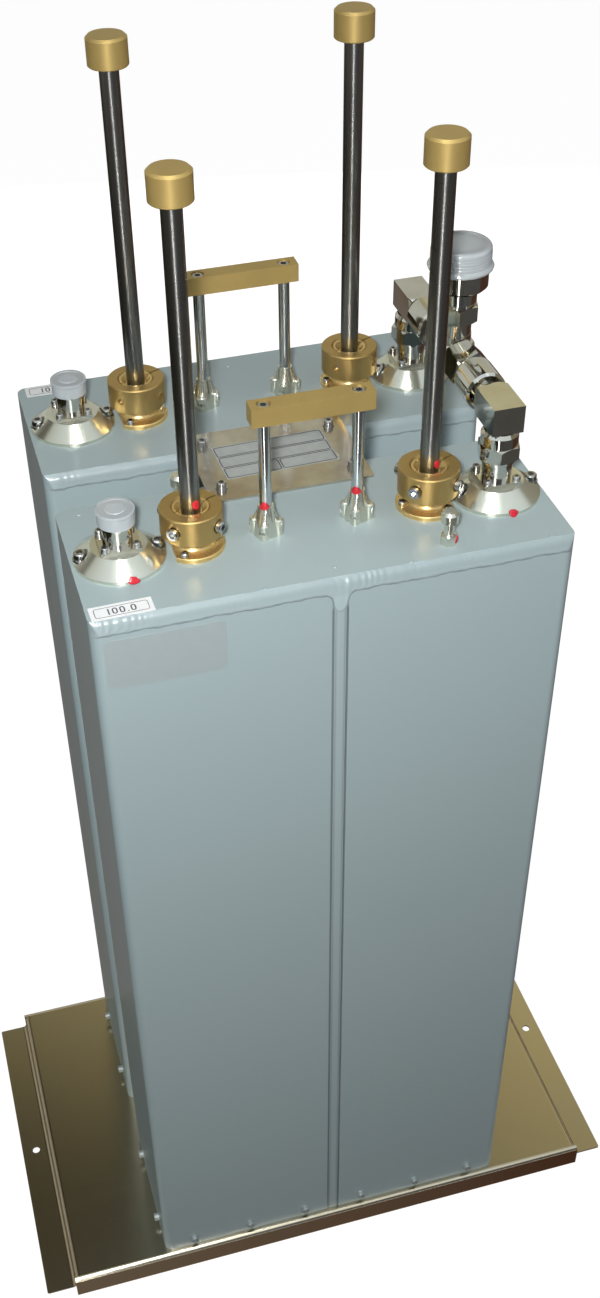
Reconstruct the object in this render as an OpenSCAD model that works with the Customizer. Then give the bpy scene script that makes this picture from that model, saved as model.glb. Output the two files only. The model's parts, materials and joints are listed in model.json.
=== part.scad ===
// Two-channel combiner built from two twin-cavity band-pass filters on one folded base plate.
// Millimetres, +Z up. The front and rear lips of the base plate stand on z = 0.

/* [Base plate] */
// Width of the raised part of the plate
base_w = 614; // [560:2:660]
// Depth of the plate from lip to lip
base_d = 391; // [386:1:430]
// Sheet thickness
base_t = 2; // [1.5:0.5:3]
// Height of the front and rear lips
lip_h = 29; // [25:1:36]
// Inside radius of the folds
fold_r = 4.5; // [2:0.5:5]
// Width of each side flange beyond the raised part
flange_w = 33; // [28:1:45]
// Step down from the raised part to the side flanges
flange_drop = 19; // [14:1:20]
// Bevel on the corners of the side flanges
flange_bevel = 1.5; // [1:0.5:8]
// Diameter of the mounting hole in each side flange
mount_hole_d = 9; // [6.5:0.5:11]

/* [Cabinets] */
// Width of a cabinet, two cavities side by side
cab_w = 400; // [396:1:440]
// Depth of a cabinet
cab_d = 160; // [152:1:166]
// Height of a cabinet
cab_h = 912; // [880:1:960]
// Clear gap between the two cabinets
cab_gap = 53; // [46:1:58]
// Wall thickness
wall_t = 4; // [3:0.5:5]
// Thickness of the top plate
top_t = 6; // [5:0.5:8]
// Thickness of the partition between the two cavities
part_t = 10; // [8:0.5:12]
// Radius of the vertical corners
corner_r = 9; // [6:0.5:12]
// Height of the weld along the front top edge
weld_h = 13; // [10:0.5:16]
// Depth of the weld on the top plate
weld_in = 5; // [3:0.5:7]
// Radius of the rounded face of the weld
weld_r = 20; // [16:1:30]
// Width of the seam on each side of the partition edge
seam_w = 2; // [1:0.2:2.4]
// Height of the floor screws above the base plate
floor_screw_z = 14; // [11:0.5:16]
// Spacing of the floor screws along the front
floor_screw_p = 66; // [58:1:70]
// Spacing of the floor screws along a side
side_screw_p = 86; // [70:1:96]

/* [Tuners] */
// Distance of a tuning rod from the axis of its coupler hub
tuner_gap = 60; // [58:0.5:63]
// Diameter of the tuning rods
rod_d = 16; // [14:0.5:17]
// Radial running clearance of the rods in their bushes
rod_fit = 0.05; // [0.02:0.01:0.1]
// Height of the front knobs above the cabinet top
front_knob_z = 286; // [260:1:300]
// Height of the rear knobs above the cabinet top
rear_knob_z = 309; // [260:1:320]
// Diameter of a knob
knob_d = 33; // [28:0.5:38]
// Height of a knob
knob_h = 23; // [20:0.5:30]
// Diameter of the bush flange
bush_d = 53; // [51:0.5:55]
// Diameter of the neck of the bush
neck_d = 32; // [31:0.5:34]
// Diameter of the slotted collet inside the collar
collet_d = 29.6; // [28:0.2:30]
// Thickness of the bush flange
bush_t = 4; // [3:0.5:6]
// Radius of the flare between the neck and the flange of the bush
flare_r = 7; // [3:0.5:9]
// Diameter of the spot faces under the bush screws
bush_spot_d = 7.2; // [7:0.1:7.4]
// Clear gap between a hub rim and the flat on its bush flange
flat_gap = 5; // [3:0.5:6]
// Height of the collar's lower face above the cabinet top
collar_z = 14.5; // [13:0.5:17]
// Diameter of the clamp collar
collar_d = 51; // [48:0.5:53]
// Height of the clamp collar
collar_h = 23.5; // [20:0.5:28]
// Width of the saw cut in the collar
cut_w = 1.4; // [1:0.2:2]
// Size of the clamp screws in the front collars
clamp_d = 6; // [5:0.5:6]
// Depth of the counterbore under a clamp screw's head
clamp_sink = 2; // [1:0.5:3]
// Size of the grub screws in the rear collars
grub_d = 5; // [4:0.5:6]
// Depth of a grub screw below the collar's face
grub_sink = 3; // [2:0.5:4]
// Outer diameter of the fixed inner conductor
reson_d = 60; // [56:1:70]
// Length of the fixed inner conductor
reson_l = 600; // [580:5:620]
// Length of the sliding end of the inner conductor
plunger_l = 300; // [280:5:320]
// Depth of the sliding end below the cabinet top, front pair
plunger_z = 731; // [715:1:745]

/* [Coupling adjusters] */
// Spacing of the two coupling rods
coup_p = 77; // [72:1:84]
// Diameter of the coupling rods
coup_d = 10; // [8:0.5:11]
// Length of the handle bar
bar_l = 100; // [96:1:116]
// Side of the square handle bar
bar_s = 16; // [15:0.5:20]
// Height of the front bar above the cabinet top
front_bar_z = 102.5; // [90:0.5:120]
// Height of the rear bar above the cabinet top
rear_bar_z = 111.5; // [90:0.5:120]
// Height of the gland that guides a coupling rod
gland_h = 27; // [24:0.5:32]
// Diameter of the gland at its base
gland_d = 22; // [20:0.5:26]
// Diameter of the gland at its top
gland_top_d = 12.6; // [12:0.2:15]
// Height of the gland's lobed base
lobe_h = 14; // [11:0.5:15]
// Diameter of a lobe on the gland base
lobe_d = 8; // [7:0.5:9]
// Depth of the coupling strap below the cabinet top, front pair
strap_z = 75; // [70:1:85]
// Travel of a coupling adjuster to each side
coup_travel = 25; // [15:1:28]

/* [Couplers] */
// Distance of a coupler hub's axis from the end of the cabinet
hub_edge = 40; // [38:0.5:42]
// Diameter of the hub rim
hub_d = 75; // [72:0.5:76]
// Thickness of the hub rim
hub_t = 3; // [2:0.5:4]
// Diameter of the seat on top of the hub
seat_d = 46; // [44:0.5:50]
// Height of the seat above the cabinet top
seat_z = 14; // [12:0.5:18]
// Distance of a hub screw from the hub axis
hub_screw_r = 31.5; // [30.5:0.25:32]
// Height of the spot face under a hub screw
spot_z = 5; // [4:0.5:6]
// Side of the square connector flange
conn_s = 33; // [32:0.5:36]
// Thickness of the connector flange
conn_t = 3.5; // [2.5:0.5:5]
// Spacing of the connector flange screws
conn_p = 25.4; // [24:0.2:26]
// Diameter of the connector body
conn_d = 25; // [22:0.5:26]
// Outer diameter of the connector's threaded end
thread_d = 29; // [28:0.2:30]
// Height of the connector end above the cabinet top
conn_z = 46; // [43:0.5:50]
// Length of the connector's threaded end
thread_l = 13; // [10:0.5:15]
// Diameter of the bore of the connector
conn_bore = 16; // [14:0.5:17]
// Diameter of the inner conductor pin
pin_d = 7; // [6:0.2:8]
// Diameter of a push-on dust cap
cap_d = 31.6; // [31:0.2:34]
// Height of a push-on dust cap
cap_h = 13; // [11:0.5:14]

/* [Output line] */
// Width of the elbow and tee blocks
block_w = 27; // [26:0.5:30]
// Height of the elbow blocks
block_h = 24; // [23.5:0.5:26]
// Height of the line's axis above the cabinet top
line_z = 76; // [75:0.5:80]
// Reach of an elbow block on the outer side of its coupler
block_out = 15.5; // [14.5:0.5:18]
// Reach of an elbow block towards the tee
block_in = 27; // [24:0.5:32]
// Diameter of the tube between elbow and tee
ring_d = 21; // [18:0.5:21]
// Length of the tube that shows beside the elbow block
ring_w = 5; // [3:0.5:8]
// Gap between a line nut and the tee block
nut_gap = 0.8; // [0.5:0.1:1.5]
// Length of the hexagon of a line nut
line_hex_h = 27; // [22:0.5:30]
// Diameter of the barrel of a line nut
line_nut_d = 35; // [33:0.5:36]
// Half length of the tee block
tee_half = 13; // [13:0.5:16]
// Height of the tee's round boss above the cabinet top
tee_top = 95; // [93:0.5:98]
// Diameter of the neck below the output socket
sock_neck_d = 25; // [20:0.5:26]
// Height of the hexagon of the output socket
sock_hex_z = 107; // [104:0.5:109]
// Length of the hexagon of the output socket
sock_hex_h = 15; // [13:0.5:17]
// Height of the large nut of the output socket
sock_nut_z = 136.5; // [134:0.5:139]
// Diameter of the large nut of the output socket
sock_nut_d = 48; // [46:0.5:52]
// Height of the output socket's rim
sock_z = 173; // [170:0.5:176]
// Diameter of the output socket's threaded end
sock_d = 46; // [45:0.5:46.5]
// Across-flats size of the coupling nuts and of the socket hexagon
nut_af = 32; // [31:0.5:34]
// Height of the lower edge of the output dust cap
cap_low = 153.5; // [152:0.5:155]
// Height of the brim above the lower edge of the output dust cap
brim_up = 2; // [1.8:0.2:4]
// Diameter of the brim of the output dust cap
brim_d = 55.5; // [54:0.5:58]
// Diameter of the output dust cap above its brim
cap_side_d = 50.5; // [49.5:0.5:52]

/* [Bridge plate and probes] */
// Width of the bridge plate
bridge_w = 143; // [136:1:150]
// Depth of the bridge plate
bridge_d = 109; // [104:1:116]
// Thickness of the bridge plate
bridge_t = 2; // [1.5:0.5:3]
// Spacing of the bridge screws across the plate
bridge_px = 116; // [110:1:122]
// Spacing of the bridge screws from front to rear
bridge_py = 70; // [66:1:78]
// Distance of a probe from the middle of the cabinet, across
probe_x = 97; // [92:1:102]
// Distance of a probe from the middle of the cabinet, front to rear
probe_y = 58; // [54:1:64]
// Height of a probe
probe_h = 31; // [26:0.5:36]
// Diameter of the head of a probe
probe_d = 14.6; // [12:0.2:16]

/* [Hidden] */
$fn = 64;
// Smooth fit between pieces that are screwed together
slip = 0.1;
// Extra length of a cut beyond a face
over = 1;
plate_z = lip_h;
top_z = plate_z + cab_h;
cab_y = (cab_d + cab_gap) / 2;
mount_x = base_w / 2 + flange_w / 2;
hub_x = cab_w / 2 - hub_edge;
cav_x = hub_x - tuner_gap;
bush_flat = tuner_gap - hub_d / 2 - flat_gap;
rod_r = rod_d / 2;
bore_r = rod_r + rod_fit;
coup_r = coup_d / 2;
coup_bore_r = coup_r + rod_fit;
cavity_w = cab_w / 2 - wall_t - part_t / 2;
cavity_d = cab_d - 2 * wall_t;
cavity_x = part_t / 2 + cavity_w / 2;
pan_h = floor_screw_z + 8;
rod_in_knob = 14;
plunger_d = reson_d - 7;
rear_lift = rear_knob_z - front_knob_z;
bar_lift = rear_bar_z - front_bar_z;
nut_z = conn_z - thread_l + 3;
nut_hex_h = 13;
nut_top = line_z - block_h / 2 - 2.5;
hex_r = nut_af / 2 / cos(30);
elbow_neck_d = 22;
window_h = 2 * coup_travel + abs(bar_lift) + 16;
brass = [0.78, 0.58, 0.22];
gold = [0.72, 0.60, 0.33];
silver = [0.86, 0.86, 0.80];
nickel = [0.72, 0.71, 0.67];
steel = [0.55, 0.55, 0.55];
paint = [0.60, 0.68, 0.70];
sheet = [0.66, 0.60, 0.53];
clear = [0.80, 0.85, 0.90];

// Places a piece on the top of a cabinet, side -1 left or 1 right, row -1 front or 1 rear.
module on_top(x, row) {
  translate([x, row * cab_y, top_z]) children();
}

// Rectangle with rounded corners, centred.
module rounded_rect(w, d, r) {
  square([w - 2 * r, d], center = true);
  square([w, d - 2 * r], center = true);
  for (sx = [-1, 1], sy = [-1, 1])
    translate([sx * (w / 2 - r), sy * (d / 2 - r)]) circle(r = r);
}

// Quarter of a bent sheet seen from its edge, inside radius r, thickness t.
module bend(r, t) {
  intersection() {
    difference() {
      circle(r = r + t);
      circle(r = r);
    }
    square(r + t);
  }
}

// Socket head cap screw of size d standing on z = 0, shank of length len below.
module cap_screw(d, len) {
  difference() {
    union() {
      cylinder(h = 0.85 * d, d = 1.7 * d);
      translate([0, 0, 0.85 * d]) cylinder(h = 0.15 * d, d1 = 1.7 * d, d2 = 1.45 * d);
      translate([0, 0, -len]) cylinder(h = len + 0.5, d = d - 2 * slip);
    }
    translate([0, 0, 0.45 * d]) cylinder(h = d, d = 0.95 * d, $fn = 6);
  }
}

// Flat washer for a screw of size d, standing on z = 0.
module washer(d, t) {
  difference() {
    cylinder(h = t, d = 2.1 * d);
    translate([0, 0, -over]) cylinder(h = t + 2 * over, d = d + 2 * slip);
  }
}

// Section across the plate: raised part, side webs and side flanges.
module base_section() {
  r = fold_r;
  o = fold_r + base_t;
  translate([-base_w / 2 + o, plate_z - base_t]) square([base_w - 2 * o, base_t]);
  for (s = [0, 1]) mirror([s, 0]) {
    translate([base_w / 2 - o, plate_z - o]) bend(r, base_t);
    translate([base_w / 2 - base_t, plate_z - flange_drop + r])
      square([base_t, flange_drop - r - o]);
    translate([base_w / 2 + r, plate_z - flange_drop + r]) rotate(180) bend(r, base_t);
    translate([base_w / 2 + r, plate_z - flange_drop - base_t]) square([flange_w - r, base_t]);
  }
}

module base_plate() {
  o = fold_r + base_t;
  color(sheet) difference() {
    union() {
      rotate([90, 0, 0]) linear_extrude(base_d - 2 * o, center = true) base_section();
      for (s = [0, 1]) mirror([0, s, 0]) {
        translate([0, -base_d / 2 + o, plate_z - o]) rotate([90, 0, -90])
          linear_extrude(base_w, center = true) bend(fold_r, base_t);
        translate([-base_w / 2, -base_d / 2, 0]) cube([base_w, base_t, plate_z - o]);
      }
    }
    for (s = [-1, 1]) translate([s * mount_x, 0, 0]) cylinder(h = plate_z, d = mount_hole_d);
    for (sx = [-1, 1], sy = [-1, 1])
      translate([sx * (base_w / 2 + flange_w), sy * (base_d / 2 - o), 0]) rotate(45)
        cube([sqrt(2) * flange_bevel, sqrt(2) * flange_bevel, 2 * plate_z], center = true);
  }
}

// Section of the rounded weld along the front top edge, seen along the edge.
module weld_section() {
  y0 = -cab_d / 2;
  ch = sqrt(weld_h * weld_h + weld_in * weld_in);
  nx = -weld_h / ch;
  nz = weld_in / ch;
  deep = sqrt(weld_r * weld_r - ch * ch / 4);
  intersection() {
    translate([y0 + weld_in / 2 - nx * deep, -weld_h / 2 - nz * deep]) circle(r = weld_r);
    polygon([[y0, -weld_h], [y0 + weld_in, 0], [y0 + weld_in + 4 * nx, 4 * nz],
      [y0 + 4 * nx, -weld_h + 4 * nz]]);
  }
}

// One welded cabinet: two folded shells on a common partition, open below.
module cabinet(row) {
  strap_mid = strap_z - (row > 0 ? bar_lift : 0);
  color(paint) translate([0, row * cab_y, 0]) difference() {
    union() {
      difference() {
        translate([0, 0, plate_z]) linear_extrude(cab_h) rounded_rect(cab_w, cab_d, corner_r);
        translate([0, 0, top_z]) rotate([90, 0, 90]) linear_extrude(cab_w + 2, center = true)
          polygon([[-cab_d / 2, -weld_h], [-cab_d / 2 + weld_in, 0], [-cab_d / 2 + weld_in, over],
            [-cab_d / 2 - over, over], [-cab_d / 2 - over, -weld_h]]);
      }
      translate([0, 0, top_z]) rotate([90, 0, 90])
        linear_extrude(cab_w - 2 * corner_r, center = true) weld_section();
    }
    for (s = [-1, 1]) {
      translate([s * cavity_x - cavity_w / 2, -cavity_d / 2, plate_z - over])
        cube([cavity_w, cavity_d, cab_h - top_t + over]);
      translate([s * cav_x, 0, top_z - top_t - over])
        cylinder(h = top_t + 2 * over, r = rod_r + 1);
      translate([s * coup_p / 2, 0, top_z - top_t - over])
        cylinder(h = top_t + 2 * over, r = coup_r + 0.5);
      translate([s * (part_t + seam_w) / 2, -cab_d / 2, plate_z + (cab_h - weld_h - 14) / 2])
        cube([seam_w, 2.4, cab_h - weld_h - 14 + 2 * over], center = true);
      translate([s * (part_t + seam_w) / 2, -cab_d / 2, top_z - weld_h - 14])
        rotate([0, s * 22, 0]) translate([-seam_w / 2, -1.2, -0.4]) cube([seam_w, 2.4, 14]);
    }
    translate([0, 0, top_z - strap_mid]) cube([part_t + 2, 30, window_h], center = true);
    floor_screw_places(row) cylinder(h = 2 * wall_t + 2, d = 5.2, center = true);
  }
}

module front_cabinet() {
  cabinet(-1);
}

module rear_cabinet() {
  cabinet(1);
}

// Places of the floor screws of one cabinet, axis pointing out of the wall.
module floor_screw_places(row) {
  z = plate_z + floor_screw_z;
  if (row < 0)
    for (s = [-1, 1], i = [-1, 0, 1])
      translate([s * cav_x + i * floor_screw_p, -cab_d / 2, z]) rotate([90, 0, 0]) children();
  for (i = [-1, 1])
    translate([-cab_w / 2, i * side_screw_p / 2, z]) rotate([0, -90, 0]) children();
}

// Trays that close the four cavities from below.
module floor_pans() {
  color(paint) for (row = [-1, 1]) difference() {
    translate([0, row * cab_y, plate_z]) difference() {
      for (s = [-1, 1])
        translate([s * cavity_x - cavity_w / 2 + slip, -cavity_d / 2 + slip, 0])
          cube([cavity_w - 2 * slip, cavity_d - 2 * slip, pan_h]);
      for (s = [-1, 1])
        translate([s * cavity_x - cavity_w / 2 + 5, -cavity_d / 2 + 5, 3])
          cube([cavity_w - 10, cavity_d - 10, pan_h]);
    }
    translate([0, row * cab_y, 0]) floor_screw_places(row) cylinder(h = 24, d = 5.2, center = true);
  }
}

module floor_screws() {
  color(nickel) for (row = [-1, 1])
    translate([0, row * cab_y, 0]) floor_screw_places(row) cap_screw(5, wall_t + 5);
}

// Bush of one tuner: flange with a flat towards the hub, flared neck and slotted collet.
module bush(side) {
  neck = neck_d / 2;
  color(brass) difference() {
    rotate_extrude() difference() {
      union() {
        translate([bore_r, 0]) square([bush_d / 2 - bore_r, bush_t]);
        translate([bore_r, 0]) square([neck - bore_r, collar_z]);
        translate([bore_r, 0]) square([collet_d / 2 - bore_r, collar_z + collar_h - 0.8]);
        translate([neck - 0.1, bush_t - 0.1]) square(flare_r + 0.1);
      }
      translate([neck + flare_r, bush_t + flare_r]) circle(r = flare_r);
      polygon([[bush_d / 2 - 0.8, bush_t + 0.01], [bush_d / 2 + 0.01, bush_t - 0.8],
        [bush_d / 2 + 1, bush_t + 1]]);
      polygon([[bore_r - 0.5, collar_z + collar_h - 5], [bore_r + 1, collar_z + collar_h - 5],
        [collet_d / 2 - 1.2, collar_z + collar_h], [bore_r - 0.5, collar_z + collar_h]]);
    }
    for (a = [20, 110])
      rotate(a) translate([0, 0, collar_z + collar_h]) cube([collet_d + 2, cut_w - 0.2, 32], center = true);
    bush_screw_places(side) cylinder(h = 2 * bush_t + 2, d = 4.2, center = true);
    bush_screw_places(side) cylinder(h = flare_r + 1, d = bush_spot_d);
    translate([side > 0 ? bush_flat : -bush_flat - bush_d, -bush_d, -over])
      cube([bush_d, 2 * bush_d, collar_z]);
  }
}

// Three screws round a bush, one of them towards the middle of the cabinet.
module bush_screw_places(side) {
  for (a = [0, 120, 240])
    rotate(a + (side > 0 ? 180 : 0)) translate([bush_d / 2 - 4.6, 0, bush_t - 0.3]) children();
}

module front_left_bush() {
  on_top(-cav_x, -1) bush(-1);
}

module front_right_bush() {
  on_top(cav_x, -1) bush(1);
}

module rear_left_bush() {
  on_top(-cav_x, 1) bush(-1);
}

module rear_right_bush() {
  on_top(cav_x, 1) bush(1);
}

module bush_screws() {
  color(nickel) for (side = [-1, 1], row = [-1, 1])
    on_top(side * cav_x, row) bush_screw_places(side) cap_screw(4, bush_t - 0.5);
}

// Split clamp collar with a bevelled bore round the collet and four radial screws.
module collar(row) {
  edge = 0.8;
  bevel = 1.6;
  inner = collet_d / 2 + slip;
  color(brass) difference() {
    translate([0, 0, collar_z]) rotate_extrude() polygon([[inner, 0],
      [collar_d / 2 - edge, 0], [collar_d / 2, edge], [collar_d / 2, collar_h - edge],
      [collar_d / 2 - edge, collar_h], [inner + bevel, collar_h], [inner, collar_h - bevel]]);
    rotate(20) translate([0, -cut_w / 2, collar_z - over]) cube([collar_d, cut_w, collar_h + 2 * over]);
    collar_screw_places() cylinder(h = collar_d, d = row < 0 ? clamp_d + 0.2 : grub_d + 0.2, center = true);
    collar_screw_places() translate([0, 0, row < 0 ? -clamp_sink : -grub_sink])
      cylinder(h = 10, d = row < 0 ? 2 * clamp_d : grub_d + 1);
  }
}

// Places of the radial collar screws, axis pointing outwards.
module collar_screw_places() {
  for (a = [45, 135, 225, 315])
    rotate(a) translate([collar_d / 2, 0, collar_z + collar_h / 2]) rotate([0, 90, 0]) children();
}

module front_left_collar() {
  on_top(-cav_x, -1) collar(-1);
}

module front_right_collar() {
  on_top(cav_x, -1) collar(-1);
}

module rear_left_collar() {
  on_top(-cav_x, 1) collar(1);
}

module rear_right_collar() {
  on_top(cav_x, 1) collar(1);
}

// Cap screws in the front collars, recessed grub screws in the rear ones.
module collar_screws() {
  bite = (collar_d - collet_d) / 2 - 1.5;
  color(nickel) for (side = [-1, 1]) {
    on_top(side * cav_x, -1) collar_screw_places() translate([0, 0, -clamp_sink])
      cap_screw(clamp_d, bite - clamp_sink);
    on_top(side * cav_x, 1) collar_screw_places() translate([0, 0, -bite]) difference() {
      cylinder(h = bite - grub_sink, d = grub_d);
      translate([0, 0, bite - grub_sink - 2]) cylinder(h = 4, d = grub_d / 2, $fn = 6);
    }
  }
}

// Tuning rod from the sliding conductor up into its knob.
module rod(row) {
  lift = row > 0 ? rear_lift : 0;
  low = plunger_l - plunger_z + lift;
  high = front_knob_z + rod_in_knob + lift;
  color(steel) translate([0, 0, low]) {
    cylinder(h = high - low - 1, d = rod_d);
    translate([0, 0, high - low - 1]) cylinder(h = 1, d1 = rod_d, d2 = rod_d - 2);
  }
}

module front_left_rod() {
  on_top(-cav_x, -1) rod(-1);
}

module front_right_rod() {
  on_top(cav_x, -1) rod(-1);
}

module rear_left_rod() {
  on_top(-cav_x, 1) rod(1);
}

module rear_right_rod() {
  on_top(cav_x, 1) rod(1);
}

// Turned knob with a bevelled top edge.
module knob(row) {
  r = knob_d / 2;
  color(gold) translate([0, 0, row < 0 ? front_knob_z : rear_knob_z]) rotate_extrude()
    polygon([[rod_r + 0.05, 0], [r - 0.8, 0], [r, 0.8], [r, knob_h - 2], [r - 2, knob_h], [0, knob_h],
      [0, rod_in_knob], [rod_r + 0.05, rod_in_knob]]);
}

module front_left_knob() {
  on_top(-cav_x, -1) knob(-1);
}

module front_right_knob() {
  on_top(cav_x, -1) knob(-1);
}

module rear_left_knob() {
  on_top(-cav_x, 1) knob(1);
}

module rear_right_knob() {
  on_top(cav_x, 1) knob(1);
}

// Sliding end of the inner conductor, a cup closed at the rod.
module plunger(row) {
  color(silver) translate([0, 0, (row > 0 ? rear_lift : 0) - plunger_z]) difference() {
    cylinder(h = plunger_l, d = plunger_d);
    translate([0, 0, -over]) cylinder(h = plunger_l - 6 + over, d = plunger_d - 5);
  }
}

module front_left_plunger() {
  on_top(-cav_x, -1) plunger(-1);
}

module front_right_plunger() {
  on_top(cav_x, -1) plunger(-1);
}

module rear_left_plunger() {
  on_top(-cav_x, 1) plunger(1);
}

module rear_right_plunger() {
  on_top(cav_x, 1) plunger(1);
}

// Fixed inner conductors hanging from the underside of the cabinet tops.
module resonators() {
  color(silver) for (side = [-1, 1], row = [-1, 1])
    on_top(side * cav_x, row) translate([0, 0, -top_t - reson_l]) difference() {
      cylinder(h = reson_l, d = reson_d);
      translate([0, 0, -over]) cylinder(h = reson_l + 2 * over, d = reson_d - 6);
    }
}

// Square handle bar of one coupling adjuster.
module coupling_bar(row) {
  z = row < 0 ? front_bar_z : rear_bar_z;
  color(gold) on_top(0, row) difference() {
    translate([-bar_l / 2, -bar_s / 2, z]) cube([bar_l, bar_s, bar_s]);
    for (s = [-1, 1]) translate([s * coup_p / 2, 0, z - over]) {
      cylinder(h = bar_s, d = 6.4);
      translate([0, 0, bar_s - 6]) cylinder(h = 10, d = 11.4);
    }
  }
}

module front_coupling_bar() {
  coupling_bar(-1);
}

module rear_coupling_bar() {
  coupling_bar(1);
}

// Two coupling rods joined below by a flat strap through the partition window.
module coupling_loop(row) {
  lift = row > 0 ? bar_lift : 0;
  color(silver) on_top(0, row) translate([0, 0, lift]) difference() {
    union() {
      for (s = [-1, 1]) translate([s * coup_p / 2, 0, -strap_z])
        cylinder(h = strap_z + front_bar_z, d = coup_d);
      translate([-coup_p / 2, -3.5, -strap_z]) cube([coup_p, 7, 4]);
    }
    for (s = [-1, 1]) translate([s * coup_p / 2, 0, front_bar_z - 12]) cylinder(h = 14, d = 6.2);
  }
}

module front_coupling_loop() {
  coupling_loop(-1);
}

module rear_coupling_loop() {
  coupling_loop(1);
}

// Counterbored screws that hold a handle bar on its rods.
module bar_screws(row) {
  z = (row < 0 ? front_bar_z : rear_bar_z) + bar_s - 7;
  color(nickel) for (s = [-1, 1]) on_top(s * coup_p / 2, row) translate([0, 0, z]) cap_screw(6, bar_s + 2);
}

module front_bar_screws() {
  bar_screws(-1);
}

module rear_bar_screws() {
  bar_screws(1);
}

// Conical collet gland with a lobed base, guiding one coupling rod.
module gland() {
  color(silver) difference() {
    union() {
      cylinder(h = gland_h, d1 = gland_d, d2 = gland_top_d);
      gland_lobe_places() {
        cylinder(h = lobe_h - 1, d = lobe_d);
        translate([0, 0, lobe_h - 1]) cylinder(h = 1, d1 = lobe_d, d2 = lobe_d - 2);
      }
    }
    translate([0, 0, -over]) cylinder(h = gland_h + 2 * over, r = coup_bore_r);
    gland_screw_places() translate([0, 0, -3.5]) cylinder(h = 8, d = 3.2);
    for (a = [20, 110])
      rotate(a) translate([0, 0, gland_h]) cube([gland_d, 0.8, 2 * (gland_h - lobe_h)], center = true);
  }
}

// Places of the lobes round a gland base.
module gland_lobe_places() {
  for (a = [-25, 65, 155, 245]) rotate(a) translate([gland_d / 2 - 1, 0, 0]) children();
}

// Places of the grub screws in the lobes, axis pointing outwards.
module gland_screw_places() {
  gland_lobe_places() translate([lobe_d / 2, 0, lobe_h / 2]) rotate([0, 90, 0]) children();
}

module front_glands() {
  for (s = [-1, 1]) on_top(s * coup_p / 2, -1) gland();
}

module rear_glands() {
  for (s = [-1, 1]) on_top(s * coup_p / 2, 1) gland();
}

module gland_screws() {
  color(steel) for (s = [-1, 1], row = [-1, 1]) on_top(s * coup_p / 2, row)
    gland_screw_places() translate([0, 0, -3.5]) difference() {
      cylinder(h = 2.8, d = 3);
      translate([0, 0, 1.6]) cylinder(h = 2, d = 1.5, $fn = 6);
    }
}

// Turned conical hub of one coupler, with spot faces for its two screws.
module hub() {
  color(silver) difference() {
    rotate_extrude() polygon([[9, 0], [hub_d / 2, 0], [hub_d / 2, hub_t], [seat_d / 2, seat_z], [9, seat_z]]);
    for (s = [-1, 1]) translate([s * hub_screw_r, 0, 0]) {
      translate([0, 0, spot_z]) cylinder(h = seat_z, d = 13.4);
      translate([0, 0, -over]) cylinder(h = seat_z, d = 6.2);
    }
    conn_screw_places() translate([0, 0, -8]) cylinder(h = 12, d = 4.2);
  }
}

// Places of the four connector flange screws, on the hub's seat.
module conn_screw_places() {
  for (sx = [-1, 1], sy = [-1, 1]) translate([sx * conn_p / 2, sy * conn_p / 2, seat_z]) children();
}

module front_input_hub() {
  on_top(-hub_x, -1) hub();
}

module rear_input_hub() {
  on_top(-hub_x, 1) hub();
}

module front_output_hub() {
  on_top(hub_x, -1) hub();
}

module rear_output_hub() {
  on_top(hub_x, 1) hub();
}

module hub_screws() {
  color(nickel) for (side = [-1, 1], row = [-1, 1], s = [-1, 1])
    on_top(side * hub_x + s * hub_screw_r, row) translate([0, 0, spot_z]) {
      washer(6, 1.2);
      translate([0, 0, 1.1]) cap_screw(6, spot_z);
    }
}

// Coaxial socket on a square flange, with its inner conductor pin.
module connector() {
  color(nickel) difference() {
    union() {
      difference() {
        union() {
          translate([-conn_s / 2, -conn_s / 2, seat_z]) cube([conn_s, conn_s, conn_t]);
          translate([0, 0, seat_z]) cylinder(h = conn_z - seat_z - 1, d = conn_d);
          translate([0, 0, conn_z - thread_l]) cylinder(h = thread_l, d = thread_d);
        }
        translate([0, 0, seat_z + 12]) cylinder(h = conn_z, d = conn_bore);
      }
      translate([0, 0, seat_z + 6]) cylinder(h = conn_z - seat_z - 9, d = pin_d);
    }
    conn_screw_places() cylinder(h = 4 * conn_t, d = 4.2, center = true);
  }
}

module front_input_connector() {
  on_top(-hub_x, -1) connector();
}

module rear_input_connector() {
  on_top(-hub_x, 1) connector();
}

module front_output_connector() {
  on_top(hub_x, -1) connector();
}

module rear_output_connector() {
  on_top(hub_x, 1) connector();
}

module connector_screws() {
  color(nickel) for (side = [-1, 1], row = [-1, 1])
    on_top(side * hub_x, row) conn_screw_places() translate([0, 0, conn_t]) cap_screw(4, conn_t + 4);
}

// Push-on dust cap with a dished top.
module input_cap() {
  color(clear) translate([0, 0, conn_z + 1.5 - cap_h]) rotate_extrude() polygon([[thread_d / 2 + 0.05, 0],
    [cap_d / 2 - 0.7, 0], [cap_d / 2 - 0.5, cap_h - 3], [cap_d / 2, cap_h - 2.4], [cap_d / 2, cap_h - 0.6],
    [cap_d / 2 - 0.6, cap_h], [cap_d / 2 - 3, cap_h], [cap_d / 2 - 3.6, cap_h - 0.6],
    [cap_d / 4 + 0.6, cap_h - 0.6], [cap_d / 4, cap_h - 0.1], [0, cap_h - 0.1],
    [0, cap_h - 1.5], [thread_d / 2 + 0.05, cap_h - 1.5]]);
}

module front_input_cap() {
  on_top(-hub_x, -1) input_cap();
}

module rear_input_cap() {
  on_top(-hub_x, 1) input_cap();
}

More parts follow.
